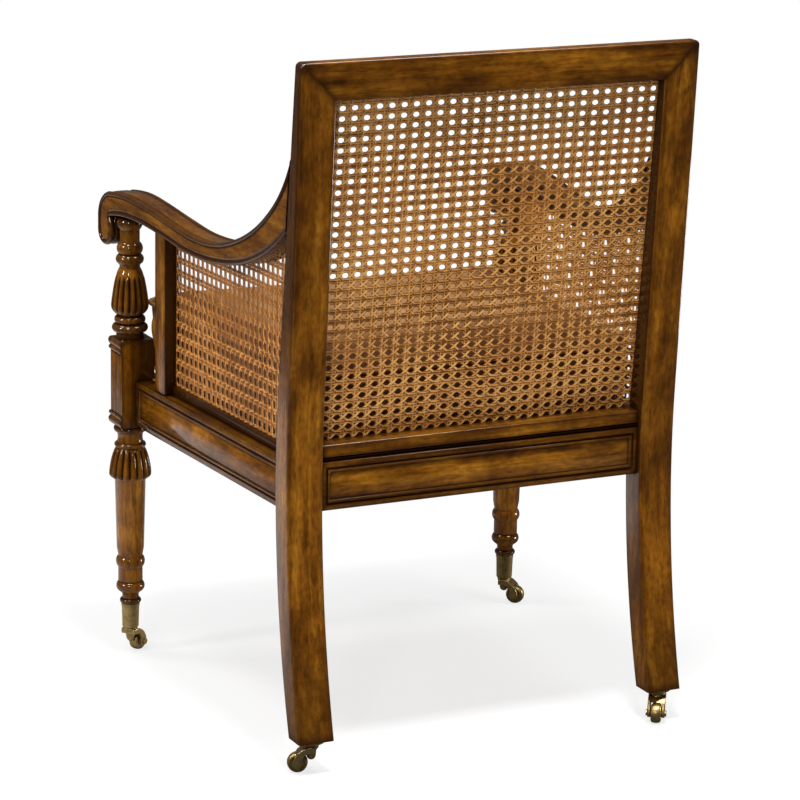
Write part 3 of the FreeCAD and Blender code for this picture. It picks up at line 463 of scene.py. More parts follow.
    def hand_over(self, *nodes: str, body: str = BODY) -> None:
        """Let the piece ride on a body and stand for CAD nodes.

        Args:
            nodes: Nodes that it takes the place of.
            body: Body it moves with.
        """
        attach(self.piece, body)
        if nodes:
            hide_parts(*nodes)
        log.info("%s rides on %s", self.piece.name, body)


class Graph:
    """Lays out shader nodes."""

    def __init__(self, tree: bpy.types.NodeTree) -> None:
        """Take up the node tree of a material, group or world."""
        self.tree = tree

    def add(self, kind: str, inputs: dict[Any, Any] | None = None, **settings: Any) -> bpy.types.Node:
        """Add a node, set it and feed it.

        Args:
            kind: Node type.
            inputs: Values or sockets by input name or number.
            settings: The node's own settings.

        Returns:
            The node.
        """
        node = self.tree.nodes.new(kind)
        for name, value in settings.items():
            setattr(node, name, value)
        for name, value in (inputs or {}).items():
            if isinstance(value, bpy.types.NodeSocket):
                self.tree.links.new(value, node.inputs[name])
            else:
                node.inputs[name].default_value = value
        return node

    def noise(self, vector: Any, scale: float, detail: float = 4.0, distortion: float = 0.0) -> Any:
        """Soft noise from 0 to 1, with a number of cells in a metre."""
        inputs = {"Vector": vector, "Scale": scale, "Detail": detail, "Distortion": distortion}
        return self.add("ShaderNodeTexNoise", inputs).outputs[0]

    def stretch(self, vector: Any, scale: Point, turn: Point = (0.0, 0.0, 0.0)) -> Any:
        """Coordinates turned by radians and stretched on each axis."""
        return self.add("ShaderNodeMapping", {"Vector": vector, "Scale": scale, "Rotation": turn}).outputs[0]

    def ramp(self, value: Any, stops: Sequence[tuple[float, Colour]]) -> Any:
        """Colours along a value.

        Args:
            value: Value socket.
            stops: Places and colours.

        Returns:
            The colour socket.
        """
        node = self.add("ShaderNodeValToRGB", {0: value})
        band = node.color_ramp
        while len(band.elements) < len(stops):
            band.elements.new(0.5)
        for element, (spot, colour) in zip(band.elements, stops):
            element.position, element.color = spot, colour
        return node.outputs[0]

    def mix(self, share: Any, first: Any, second: Any, blend: str = "MIX") -> Any:
        """Mix two colours by the share of the second."""
        inputs = {0: share, 6: first, 7: second}
        return self.add("ShaderNodeMix", inputs, data_type="RGBA", blend_type=blend).outputs[2]

    def span(self, value: Any, low: float, high: float, to_low: float, to_high: float) -> Any:
        """Carry a value from one range to another, kept within it."""
        inputs = {"Value": value, "From Min": low, "From Max": high, "To Min": to_low, "To Max": to_high}
        return self.add("ShaderNodeMapRange", inputs).outputs[0]

    def math(self, operation: str, first: Any, second: Any) -> Any:
        """A sum on two values."""
        return self.add("ShaderNodeMath", {0: first, 1: second}, operation=operation).outputs[0]

    def hollows(self, reach: float, inside: bool = False) -> Any:
        """Openness of the surface.

        Args:
            reach: Distance looked at, in metres.
            inside: Look into the piece, so that arrises count and not hollows.

        Returns:
            A value that is low in hollows, or on arrises.
        """
        node = self.add("ShaderNodeAmbientOcclusion", {"Distance": reach}, samples=8, inside=inside,
                        only_local=inside)
        return node.outputs["AO"]

    def gauge(self, operation: str, first: Any, second: Any) -> Any:
        """A value from two vectors."""
        node = self.add("ShaderNodeVectorMath", {0: first, 1: second}, operation=operation)
        return node.outputs["Value"]

    def attribute(self, name: str) -> Any:
        """A value that the mesh carries."""
        return self.add("ShaderNodeAttribute", attribute_name=name).outputs["Fac"]

    def seen(self) -> Any:
        """1 for rays from the camera, straight or through glass."""
        rays = self.add("ShaderNodeLightPath").outputs
        return self.math("MAXIMUM", rays["Is Camera Ray"], rays["Is Transmission Ray"])


def new_group(name: str, outputs: dict[str, str]) -> tuple[Graph, Any, bpy.types.Node]:
    """An empty shader group that takes coordinates.

    Args:
        name: Group name.
        outputs: Socket types by name.

    Returns:
        The graph, the coordinates' socket and the group's output node.
    """
    tree = bpy.data.node_groups.new(name, "ShaderNodeTree")
    tree.interface.new_socket(name="Vector", in_out="INPUT", socket_type="NodeSocketVector")
    for title, kind in outputs.items():
        tree.interface.new_socket(name=title, in_out="OUTPUT", socket_type=kind)
    graph = Graph(tree)
    return graph, graph.add("NodeGroupInput").outputs[0], graph.add("NodeGroupOutput")


SURFACE = {"Color": "NodeSocketColor", "Roughness": "NodeSocketFloat", "Height": "NodeSocketFloat",
           "Coat": "NodeSocketFloat"}
SHADER_SOCKETS = {"Color": "Base Color", "Roughness": "Roughness", "Coat": "Coat Weight"}


@dataclass(frozen=True)
class Finish:
    """A surface finish: a group gives its colour, roughness and relief, the shader its gloss."""

    name: str
    slot: str
    relief: float
    bump: float
    metallic: float = 0.0
    coat: float = 0.0
    coat_roughness: float = 0.1
    specular: float = 0.5
    titles: ClassVar[tuple[str, ...]] = ("Color", "Roughness", "Height")

    def lay_out(self, graph: Graph, vector: Any) -> dict[str, Any]:
        """Colour, roughness and height of the surface.

        Args:
            graph: The group's graph.
            vector: Coordinates.

        Returns:
            Sockets for the group's outputs.
        """
        raise NotImplementedError

    def group(self) -> bpy.types.NodeTree:
        """The finish's shader group, made once.

        Returns:
            The group.
        """
        name = f"{self.name}_surface"
        if name not in bpy.data.node_groups:
            graph, vector, end = new_group(name, {title: SURFACE[title] for title in self.titles})
            for title, socket in self.lay_out(graph, vector).items():
                graph.tree.links.new(socket, end.inputs[title])
        return bpy.data.node_groups[name]

    def material(self, grain: Grain = Grain.UPRIGHT) -> bpy.types.Material:
        """The finish as a material, made once for each run of the grain.

        Args:
            grain: Axis of the grain.

        Returns:
            The material.
        """
        name = f"{self.name}_{grain.name.lower()}"
        if name in bpy.data.materials:
            return bpy.data.materials[name]
        material = bpy.data.materials.new(name)
        material.use_nodes = True
        graph = Graph(material.node_tree)
        shader = material.node_tree.nodes["Principled BSDF"]
        place = graph.add("ShaderNodeTexCoord").outputs["Object"]
        turned = graph.stretch(place, (1.0, 1.0, 1.0), grain.value)
        surface = graph.add("ShaderNodeGroup", node_tree=self.group())
        graph.tree.links.new(turned, surface.inputs["Vector"])
        gloss = {"Metallic": self.metallic, "Specular IOR Level": self.specular,
                 "Coat Weight": self.coat, "Coat Roughness": self.coat_roughness}
        for title, value in gloss.items():
            shader.inputs[title].default_value = value
        for title, socket in SHADER_SOCKETS.items():
            if title in self.titles:
                graph.tree.links.new(surface.outputs[title], shader.inputs[socket])
        inputs = {"Strength": self.bump, "Distance": self.relief, "Height": surface.outputs["Height"]}
        bump = graph.add("ShaderNodeBump", inputs)
        graph.tree.links.new(bump.outputs[0], shader.inputs["Normal"])
        return material


@dataclass(frozen=True)
class Walnut(Finish):
    """Old waxed walnut: streaks along the grain, cloudy colour, painted shade in hollows, grooves and marked
    faces, and darker arrises.
    """

    deep: Colour = (0.022, 0.0065, 0.0006, 1.0)
    brown: Colour = (0.238, 0.087, 0.0052, 1.0)
    gold: Colour = (0.46, 0.218, 0.020, 1.0)
    titles: ClassVar[tuple[str, ...]] = ("Color", "Roughness", "Height", "Coat")
    patches: ClassVar[tuple[Any, ...]] = (0.6, (1.0, 1.0, 0.5), (46.0, 4.0), (
        (0.35, (0.62, 0.58, 0.52, 1.0)), (0.62, (1.12, 1.1, 1.05, 1.0))))
    flecks: ClassVar[tuple[Any, ...]] = (0.7, (1.0, 1.0, 0.4), (210.0, 3.0), (
        (0.36, (0.6, 0.56, 0.5, 1.0)), (0.6, (1.15, 1.12, 1.05, 1.0))))
    patina: ClassVar[tuple[Any, ...]] = (0.75, (1.0, 1.0, 1.0), (10.0, 5.0, 0.8), (
        (0.38, (0.50, 0.43, 0.34, 1.0)), (0.6, (1.14, 1.14, 1.10, 1.0))))

    def lay_out(self, graph: Graph, vector: Any) -> dict[str, Any]:
        """Colour, roughness and height of the wood.

        Args:
            graph: The group's graph.
            vector: Coordinates.

        Returns:
            Sockets for the group's outputs.
        """
        streaks = graph.noise(graph.stretch(vector, (1.0, 1.0, 0.07)), 120.0, 7.0, 0.5)
        bands = graph.add("ShaderNodeTexWave", {
            "Vector": graph.stretch(vector, (1.0, 1.0, 0.16)), "Scale": 9.0, "Distortion": 9.0,
            "Detail": 4.0, "Detail Scale": 1.6}, bands_direction="DIAGONAL").outputs["Fac"]
        figure = graph.math("ADD", graph.math("MULTIPLY", streaks, 0.7), graph.math("MULTIPLY", bands, 0.18))
        wood = graph.ramp(figure, [(0.22, self.deep), (0.46, self.brown), (0.72, self.gold)])
        clouds = graph.span(graph.noise(vector, 13.0, 3.0, 0.6), 0.3, 0.7, 0.0, 0.62)
        wood = graph.mix(clouds, wood, self.brown)
        for share, scale, noise, stops in (self.patches, self.flecks, self.patina):
            cloud = graph.noise(graph.stretch(vector, scale), *noise)
            wood = graph.mix(share, wood, graph.ramp(cloud, stops), "MULTIPLY")
        pores = graph.noise(graph.stretch(vector, (1.0, 1.0, 0.035)), 900.0, 2.0)
        wood = graph.mix(graph.span(pores, 0.58, 0.7, 0.0, 0.5), wood, self.deep)
        # painted shade: faces marked as shaded go towards the deep colour
        wood = graph.mix(graph.attribute("paint_shade"), wood, self.deep)
        # painted shade in recesses and under parts, from ambient occlusion
        wood = graph.mix(graph.span(graph.hollows(0.05), 0.42, 0.86, 0.85, 0.0), wood, self.deep)
        # painted shade in narrow grooves; the same openness takes the coat out of them
        open_share = graph.span(graph.hollows(0.008), 0.45, 0.95, 0.0, 1.0)
        wood = graph.mix(graph.math("MULTIPLY", open_share, 0.92), self.deep, wood)
        # darker along the arrises, from ambient occlusion looking into the piece
        wood = graph.mix(graph.span(graph.hollows(0.012, True), 0.5, 0.93, 0.85, 0.0), wood, self.deep)
        rough = graph.span(graph.noise(vector, 60.0, 4.0), 0.3, 0.7, 0.26, 0.42)
        coat = graph.span(open_share, 0.0, 1.0, 0.0, self.coat)
        return {"Color": wood, "Roughness": rough, "Height": streaks, "Coat": coat}


@dataclass(frozen=True)
class Cane(Finish):
    """Split cane gone honey brown, with painted shade where the strands cross and painted highlights on the
    strands' tops and on the diagonals.
    """

    dark: Colour = (0.13, 0.040, 0.007, 1.0)
    honey: Colour = (0.58, 0.240, 0.055, 1.0)
    pale: Colour = (0.90, 0.520, 0.165, 1.0)

    def lay_out(self, graph: Graph, vector: Any) -> dict[str, Any]:
        """Colour, roughness and height of the cane.

        Args:
            graph: The group's graph.
            vector: Coordinates.

        Returns:
            Sockets for the group's outputs.
        """
        change = graph.span(graph.noise(vector, 90.0, 4.0, 0.4), 0.2, 0.8, -0.35, 0.35)
        # the strand value mixes each strand's own tone with a painted highlight on its top, painted shade at
        # its edges and a lighter painted tone on the diagonals
        strand = graph.math("ADD", graph.attribute("tone_and_light"), change)
        cane = graph.ramp(strand, [(0.0, self.dark), (0.42, self.honey), (1.0, self.pale)])
        ageing = graph.span(graph.noise(vector, 9.0, 3.0), 0.35, 0.7, 0.0, 0.45)
        cane = graph.mix(ageing, cane, self.honey)
        fibres = graph.noise(vector, 1600.0, 2.0)
        cane = graph.mix(graph.span(fibres, 0.5, 0.75, 0.0, 0.3), cane, self.dark)
        # painted shade where the strands cross, from ambient occlusion
        cane = graph.mix(graph.span(graph.hollows(0.004), 0.15, 0.75, 0.9, 0.0), cane, self.dark)
        rough = graph.span(strand, 0.0, 1.0, 0.42, 0.26)
        return {"Color": cane, "Roughness": rough, "Height": fibres}


@dataclass(frozen=True)
class Leather(Finish):
    """Dark brown hide with a fine pebble and rubbed high places, and painted shade in hollows and on marked
    faces.
    """

    # colour of the painted shade on the cushion
    shade: Colour = (0.055, 0.012, 0.001, 1.0)
    dark: Colour = (0.18, 0.085, 0.033, 1.0)
    brown: Colour = (0.30, 0.160, 0.070, 1.0)

    def lay_out(self, graph: Graph, vector: Any) -> dict[str, Any]:
        """Colour, roughness and height of the hide.

        Args:
            graph: The group's graph.
            vector: Coordinates.

        Returns:
            Sockets for the group's outputs.
        """
        cells = graph.add("ShaderNodeTexVoronoi", {"Vector": vector, "Scale": 520.0},
                          feature="DISTANCE_TO_EDGE").outputs["Distance"]
        pebble = graph.span(cells, 0.0, 0.28, 0.0, 1.0)
        wear = graph.span(graph.noise(vector, 16.0, 5.0, 0.8), 0.35, 0.68, 0.0, 1.0)
        hide = graph.mix(wear, self.dark, self.brown)
        # painted shade: faces marked as shaded go towards the shade colour
        hide = graph.mix(graph.attribute("paint_shade"), hide, self.shade)
        hide = graph.mix(graph.span(pebble, 0.0, 0.6, 0.55, 0.0), hide, self.dark)
        # painted shade in hollows, from ambient occlusion
        hide = graph.mix(graph.span(graph.hollows(0.02), 0.3, 0.9, 0.7, 0.0), hide, self.dark)
        creases = graph.noise(graph.stretch(vector, (1.0, 0.35, 1.0)), 60.0, 5.0, 1.0)
        rough = graph.span(wear, 0.0, 1.0, 0.5, 0.36)
        height = graph.math("ADD", graph.math("MULTIPLY", pebble, 0.4), creases)
        return {"Color": hide, "Roughness": rough, "Height": height}


@dataclass(frozen=True)
class Metal(Finish):
    """Cast metal, rubbed bright outside and tarnished in its hollows."""

    bright: Colour = (0.54, 0.38, 0.155, 1.0)
    tarnish: Colour = (0.18, 0.110, 0.042, 1.0)
    rough_low: float = 0.3
    rough_high: float = 0.5

    def lay_out(self, graph: Graph, vector: Any) -> dict[str, Any]:
        """Colour, roughness and height of the metal.

        Args:
            graph: The group's graph.
            vector: Coordinates.

        Returns:
            Sockets for the group's outputs.
        """
        spots = graph.noise(vector, 160.0, 5.0, 0.4)
        metal = graph.mix(graph.span(spots, 0.42, 0.7, 0.0, 0.6), self.bright, self.tarnish)
        metal = graph.mix(graph.span(graph.hollows(0.008), 0.25, 0.9, 0.9, 0.0), metal, self.tarnish)
        rough = graph.span(spots, 0.3, 0.7, self.rough_low, self.rough_high)
        return {"Color": metal, "Roughness": rough, "Height": graph.noise(vector, 420.0, 3.0)}


WALNUT = Walnut("walnut", "walnut", 0.0003, 0.15, coat=0.9, coat_roughness=0.07, specular=0.03)
CANE = Cane("cane", "cane", 0.0002, 0.4, specular=0.25)
LEATHER = Leather("leather", "leather", 0.0006, 0.5, specular=0.12)
BRASS = Metal("brass", "brass", 0.0001, 0.05, metallic=1.0)
STEEL = Metal("steel", "steel", 0.0001, 0.2, metallic=1.0, bright=(0.42, 0.41, 0.40, 1.0),
              tarnish=(0.10, 0.085, 0.07, 1.0))


def hand_over_pair(left: Bench, name: str, grain: Grain) -> None:
    """Mirror a left piece, dress both in walnut and let them stand for their nodes.

    Args:
        left: Finished left piece.
        name: Node name without its side.
        grain: Axis of the grain.
    """
    right = left.mirrored(f"{name}_right_wood")
    for side, piece in ((Side.LEFT, left), (Side.RIGHT, right)):
        piece.dress(WALNUT, grain).hand_over(f"{name}_{side.tag}")


@dataclass(frozen=True)
class Sweep:
    """A face of the rear leg: an arc about the waist that runs out into a straight lean."""

    waist_y: float
    radius: float
    lean: float
    waist_z: float = 390.0

    def y(self, z: float) -> float:
        """Depth of the face.

        Args:
            z: Height.

        Returns:
            Depth at that height.
        """
        angle = math.radians(self.lean)
        end = self.waist_z + self.radius * math.sin(angle)
        rise = min(z, end) - self.waist_z
        arc = self.radius - math.sqrt(self.radius**2 - rise**2)
        return self.waist_y + arc + max(0.0, z - end) * math.tan(angle)


FRONT_FACE = Sweep(RAIL_REAR, 1204.0, 5.8)
REAR_FACE = Sweep(255.7, 1308.0, 3.32)


@dataclass(frozen=True)
class SideFrame:
    """Plane of one splayed side: run along the rail to the rear, inward from its outer face."""

    side: Side
    front_x: float = 304.0
    rear_x: float = 280.0
    front_y: float = RAIL_FRONT
    rear_y: float = RAIL_REAR

    @property
    def splay(self) -> float:
        """Angle between the side and the middle plane."""
        return math.atan2(self.front_x - self.rear_x, self.rear_y - self.front_y)

    def matrix(self) -> Matrix:
        """Move from run, height and inward to the chair's axes, in metres.

        Returns:
            The matrix.
        """
        sign, angle = self.side.value, self.splay
        run = Vector((-sign * math.sin(angle), math.cos(angle), 0.0))
        inward = Vector((-sign * math.cos(angle), -math.sin(angle), 0.0))
        place = Matrix.Translation(Vector((sign * self.front_x, self.front_y, 0.0)) * MM)
        return place @ Matrix((run, (0, 0, 1), inward)).transposed().to_4x4()

    def run(self, y: float, inward: float = 0.0) -> float:
        """Distance from the rail's front end at a depth, inward from its outer face."""
        return (y - self.front_y + inward * math.sin(self.splay)) / math.cos(self.splay)


@dataclass
class BackFrame:
    """Sabre rear legs that run up as stiles, the crest rail mitred to them and the band under the cane."""

    inner: float = BACK_HALF
    outer: float = 287.0
    bottom: float = 45.3
    top: float = 940.0
    crest_bottom: float = CREST_BOTTOM
    crest_depth: float = 40.0
    corner: float = 7.0
    tip: int = 8
    spans: int = 44
    arris: float = 3.4
    mitre_gap: float = 0.12
    rail_low: float = RAIL_TOP
    rail_high: float = CANE_LOW
    rail_rear: float = 247.0
    dark_inside: Flat = (400.0, 460.0)
    shaded_outside: Flat = (480.0, 610.0)
    dark_foot: Flat = (190.0, 100.0)

    def rounded(self, low: Flat, high: Flat, arris: float) -> list[Flat]:
        """Rectangle with rounded corners.

        Args:
            low: Lowest corner.
            high: Highest corner.
            arris: Corner radius.

        Returns:
            Points round it.
        """
        (a, b), (c, d) = (low[0] + arris, low[1] + arris), (high[0] - arris, high[1] - arris)
        points = []
        for x, y, start in ((c, b, -90.0), (c, d, 0.0), (a, d, 90.0), (a, b, 180.0)):
            for turn in (math.radians(start + 22.5 * step) for step in range(5)):
                points.append((x + arris * math.cos(turn), y + arris * math.sin(turn)))
        return points

    def corner_drop(self, reach: float) -> float:
        """How far the rounded top corner draws in at a distance from its end."""
        short = max(self.corner - reach, 0.0)
        return self.corner - math.sqrt(self.corner**2 - short**2)

    def build_leg(self) -> Bench:
        """Left rear leg, extruded up its sweep and cut to the mitre.

        Returns:
            The leg.
        """
        start = self.top - self.tip
        levels = [self.bottom + (start - self.bottom) * step / self.spans for step in range(self.spans + 1)]
        levels += [start + step for step in range(1, self.tip)]
        sections = []
        for z in levels:
            outer = self.outer - self.corner_drop(self.top - z)
            ring = self.rounded((self.inner, FRONT_FACE.y(z)), (outer, REAR_FACE.y(z)), self.arris)
            sections.append([(x, y, z) for x, y in ring])
        leg = Bench.loft("rear_leg_left_wood", sections)
        gap = self.mitre_gap
        leg.bisect((self.inner + gap, 0.0, self.crest_bottom - gap), (-1.0, 0.0, 1.0))
        return leg.tidy()

    def build_crest(self) -> Bench:
        """Crest rail, extruded across and cut to both mitres.

        Returns:
            The rail.
        """
        ends = [self.outer - self.tip + step for step in range(self.tip)]
        between = [self.outer * share for share in (-0.6, -0.2, 0.2, 0.6)]
        stops = [-x for x in reversed(ends)] + between + ends
        wide = self.crest_depth
        sections = []
        for x in stops:
            top = self.top - self.corner_drop(self.outer - abs(x))
            ring = self.rounded((0.0, self.crest_bottom), (wide, top), self.arris)
            sections.append([(x, FRONT_FACE.y(z) + across if across < wide / 2
                              else REAR_FACE.y(z) - (wide - across), z) for across, z in ring])
        crest = Bench.loft("crest_rail_wood", sections)
        for sign in (-1, 1):
            crest.bisect((sign * self.inner, 0.0, self.crest_bottom), (sign, 0.0, -1.0))
        return crest.tidy()

    def build_band(self) -> Bench:
        """Band under the back cane, with a hollow and a bead below it.

        Returns:
            The band.
        """
        rear, low, high = self.rail_rear, self.rail_low, self.rail_high
        front = FRONT_FACE.y(high) + 0.2
        edge = [(front, low), (rear - 4.5, low), (rear - 4.5, low + 1.0)]
        edge += arc_points(edge[-1], (rear - 2.6, low + 2.8), (rear - 4.5, low + 4.6), 6)
        edge += [(rear - 6.0, low + 5.0), (rear - 6.0, low + 6.2), (rear - 0.6, low + 6.6),
                 (rear, low + 7.4)]
        edge += arc_points((rear, high - 2.0), (rear - 0.6, high - 0.6), (rear - 2.0, high), 4)
        edge.append((front, high))
        return Bench.loft("back_lower_rail_wood", [[(x, y, z) for y, z in edge]
                                                   for x in (-self.inner, 0.0, self.inner)])

    def polish(self, centre: Vector, normal: Vector) -> float:
        """Painted shade on the legs' inner faces and high on their outer faces; the faces are also darker
        down at their feet.

        Args:
            centre: Middle of a face in millimetres.
            normal: The face's normal.

        Returns:
            How dark the face is.
        """
        if normal.x < -0.7:
            return 0.4 + 0.5 * fade(centre.z, *self.dark_inside)
        foot = 0.6 * fade(centre.z, *self.dark_foot)
        return max(foot, 0.75 * (normal.x > 0.7) * fade(centre.z, *self.shaded_outside))

    def build(self) -> None:
        """Make and dress the back's frame."""
        hand_over_pair(self.build_leg().smooth(30).paint_shade(self.polish), "rear_leg", Grain.UPRIGHT)
        self.build_crest().smooth(30).dress(WALNUT, Grain.ACROSS).hand_over("crest_rail")
        self.build_band().smooth(30).dress(WALNUT, Grain.ACROSS).hand_over("back_lower_rail")


@dataclass
class PanelRails:
    """Seat rails with a sunk panel and its bead on the outer face."""

    bottom: float = 344.0
    top: float = RAIL_TOP
    margin: float = 7.0
    arris: float = 1.2
    half_rear: float = BACK_HALF
    rear_front: float = RAIL_REAR
    rear_thickness: float = 33.0
    half_front: float = 280.5
    front_rear: float = RAIL_FRONT
    front_thickness: float = 38.0
    side_thickness: float = 30.0
    moulding: tuple[Flat, ...] = ((0.5, -1.9), (0.9, -0.5), (1.0, 0.0), (0.5, 1.6), (0.7, 0.8), (1.1, 0.3),
                                  (1.1, -0.3), (0.7, -0.8), (0.5, -1.6), (1.0, 0.0), (0.7, 0.5))

    def sink(self, rail: Bench, outward: Vector) -> Bench:
        """Sink the panel into the face that looks outward.

        Args:
            rail: Plain rail.
            outward: Direction of the panelled face.

        Returns:
            The rail.
        """
        rail.soften(self.arris, 3)
        rail.unselect()
        outer = [face for face in rail.mesh.polygons if face.normal.dot(outward) > 0.99]
        max(outer, key=lambda face: face.area).select = True
        rail.inset([(self.margin - self.arris, 0.0), *self.moulding])
        return rail.smooth(50)

    def build_side(self, side: Side) -> Bench:
        """Splayed side rail.

        Args:
            side: Which side.

        Returns:
            The rail.
        """
        plane = SideFrame(side)
        sign, thick = side.value, self.side_thickness
        ends = [(plane.front_x, plane.front_y), (plane.rear_x, plane.rear_y)]
        plan = [(sign * x, y) for x, y in ends] + [(sign * (x - thick), y) for x, y in reversed(ends)]
        rail = Bench.loft(f"side_seat_rail_{side.tag}_wood",
                          [[(x, y, z) for x, y in plan] for z in (self.bottom, self.top)])
        return self.sink(rail, Vector((sign * math.cos(plane.splay), math.sin(plane.splay), 0.0)))

    def build(self) -> None:
        """Make and dress the four rails."""
        rear = Bench.box("rear_seat_rail_wood", (-self.half_rear, self.rear_front, self.bottom),
                         (self.half_rear, self.rear_front + self.rear_thickness, self.top))
        self.sink(rear, Vector((0, 1, 0))).dress(WALNUT, Grain.ACROSS).hand_over("rear_seat_rail")
        front = Bench.box("front_seat_rail_wood",
                          (-self.half_front, self.front_rear - self.front_thickness, self.bottom),
                          (self.half_front, self.front_rear, self.top))
        self.sink(front, Vector((0, -1, 0))).dress(WALNUT, Grain.ACROSS).hand_over("front_seat_rail")
        for side in Side:
            self.build_side(side).dress(WALNUT, Grain.DEEP).hand_over(f"side_seat_rail_{side.tag}")


@dataclass
class Arms:
    """Arms that sweep down from the stiles and turn over in a scroll, beaded along their edges."""

    leg_x: float = LEG_X
    leg_y: float = LEG_Y
    rear_middle: float = 264.5
    half: float = 22.5
    height: float = 661.5
    rise: float = 17.5
    thickness: float = 27.5
    top: float = 815.0
    bottom: float = 716.0
    scroll_radius: float = 20.5
    scroll_drop: float = 82.5
    scroll_reach: float = 57.0
    waist: float = 5.0
    waist_middle: float = 150.0
    waist_half: float = 130.0
    dark_rear: Flat = (60.0, 180.0)
    edge: tuple[Flat, ...] = ((22.5, 0.0), (31.0, 0.2), (33.8, 0.5), (34.7, 1.7), (35.8, 2.1), (36.9, 1.6),
                              (37.9, 0.3), (39.6, -0.2), (41.6, 0.0), (43.6, 0.9), (44.7, 2.2), (45.0, 3.6),
                              (44.5, 5.0), (43.3, 5.9), (42.4, 6.5), (42.5, 7.3), (43.4, 8.1), (43.7, 9.6))

    def curves(self) -> tuple[list[Flat], list[Flat]]:
        """Stops of the upper and lower edge, as depth and height.

        Returns:
            Upper edge from the stile forward, lower edge from the scroll back.
        """
        low, thick, rise, leg = self.height, self.thickness, self.rise, self.leg_y
        y_top, y_bottom = FRONT_FACE.y(self.top), FRONT_FACE.y(self.bottom)
        span, fall, under = y_top - leg, self.top - low, low - thick
        climb = self.bottom - under
        drops = ((0.05, 0.29), (0.15, 0.61), (0.276, 0.845), (0.43, 0.987), (0.55, 1.0))
        upper = [(y_top, self.top)] + [(y_top - a * span, self.top - b * fall) for a, b in drops]
        upper += [(y_top - a * span, low + b * rise) for a, b in ((0.69, 0.42), (0.83, 0.85), (0.94, 1.0))]
        upper.append((leg - 0.5 * self.scroll_reach, low + 0.7 * rise))
        lower = [(leg - self.scroll_reach + 1.7 * self.scroll_radius, under + 0.3 * rise)]
        lower += [(leg + a * span, under + b * rise) for a, b in ((0.03, 0.66), (0.13, 0.77), (0.27, 0.5))]
        lower += [(leg + a * span, under + b * climb)
                  for a, b in ((0.43, 0.0), (0.6, 0.035), (0.76, 0.24), (0.89, 0.6))]
        lower.append((y_bottom, self.bottom))
        return upper, lower

    def underside(self, y: float) -> float:
        """Height of the arm's lower edge.

        Args:
            y: Depth.

        Returns:
            Height there.
        """
        lower = self.curves()[1]
        run = [lower[0]] + smooth_points(lower, 12)
        return float(np.interp(y, [p[0] for p in run], [p[1] for p in run]))

    def outline(self) -> np.ndarray:
        """Side view of the arm.

        Returns:
            Points of depth and height, one way round.
        """
        upper, lower = self.curves()
        radius, nose = self.scroll_radius, self.leg_y - self.scroll_reach
        crown = self.height + self.rise
        middle_y, middle_z = nose + radius, crown - self.scroll_drop + radius
        path = [upper[0]] + smooth_points(upper, 7)
        path += arc_points(path[-1], (nose + 0.36 * radius, crown - radius),
                           (nose, middle_z + 0.75 * radius), 8)
        path += [(nose, middle_z)]
        path += arc_points(path[-1], (middle_y, middle_z - radius), (middle_y + radius, middle_z), 16)
        neck = (middle_y + 0.9 * radius, 0.5 * (middle_z + lower[0][1]))
        path += smooth_points([path[-1], neck, lower[0]], 4)
        path += smooth_points(lower, 7)
        return np.array(path)

    def build_left(self) -> Bench:
        """Left arm, raised across its width through sections that shape its edges.

        Returns:
            The arm.
        """
        path = self.outline()
        along = np.roll(path, -1, axis=0) - np.roll(path, 1, axis=0)
        along /= np.linalg.norm(along, axis=1)[:, None]
        inward = np.stack([-along[:, 1], along[:, 0]], axis=1)
        joint = (path[-1] - path[0]) / np.linalg.norm(path[-1] - path[0])
        inward[0], inward[-1] = 1.7 * joint, -1.2 * joint
        slope = (self.leg_x - self.rear_middle) / (FRONT_FACE.y(self.top) - self.leg_y)
        run = path[:, 0] - self.leg_y
        hollow = self.waist * np.clip(1 - ((run - self.waist_middle) / self.waist_half) ** 2, 0, 1)
        width = 2 * self.half
        sections = []
        for across, draw_in in [(width - a, d) for a, d in reversed(self.edge[1:])] + list(self.edge):
            spots = path + inward * draw_in
            spots[:, 0] = np.minimum(spots[:, 0], [FRONT_FACE.y(z) for z in spots[:, 1]])
            wide = hollow + (width - hollow) * across / width
            x = self.leg_x - self.half - (spots[:, 0] - self.leg_y) * slope + wide
            sections.append([tuple(p) for p in np.stack([x, spots[:, 0], spots[:, 1]], axis=1)])
        return Bench.loft("arm_left_wood", sections)

    def polish(self, centre: Vector, normal: Vector) -> float:
        """Painted shade on the inner face; the top and the outer face are darker too, the outer face more
        towards the stile.

        Args:
            centre: Middle of a face in millimetres.
            normal: The face's normal.

        Returns:
            How dark the face is.
        """
        if normal.z > 0.35:
            return 0.6
        return 0.8 if normal.x < -0.6 else 0.3 + 0.25 * fade(centre.y, *self.dark_rear)

    def build(self) -> None:
        """Make and dress both arms."""
        hand_over_pair(self.build_left().smooth(42).paint_shade(self.polish), "arm", Grain.DEEP)


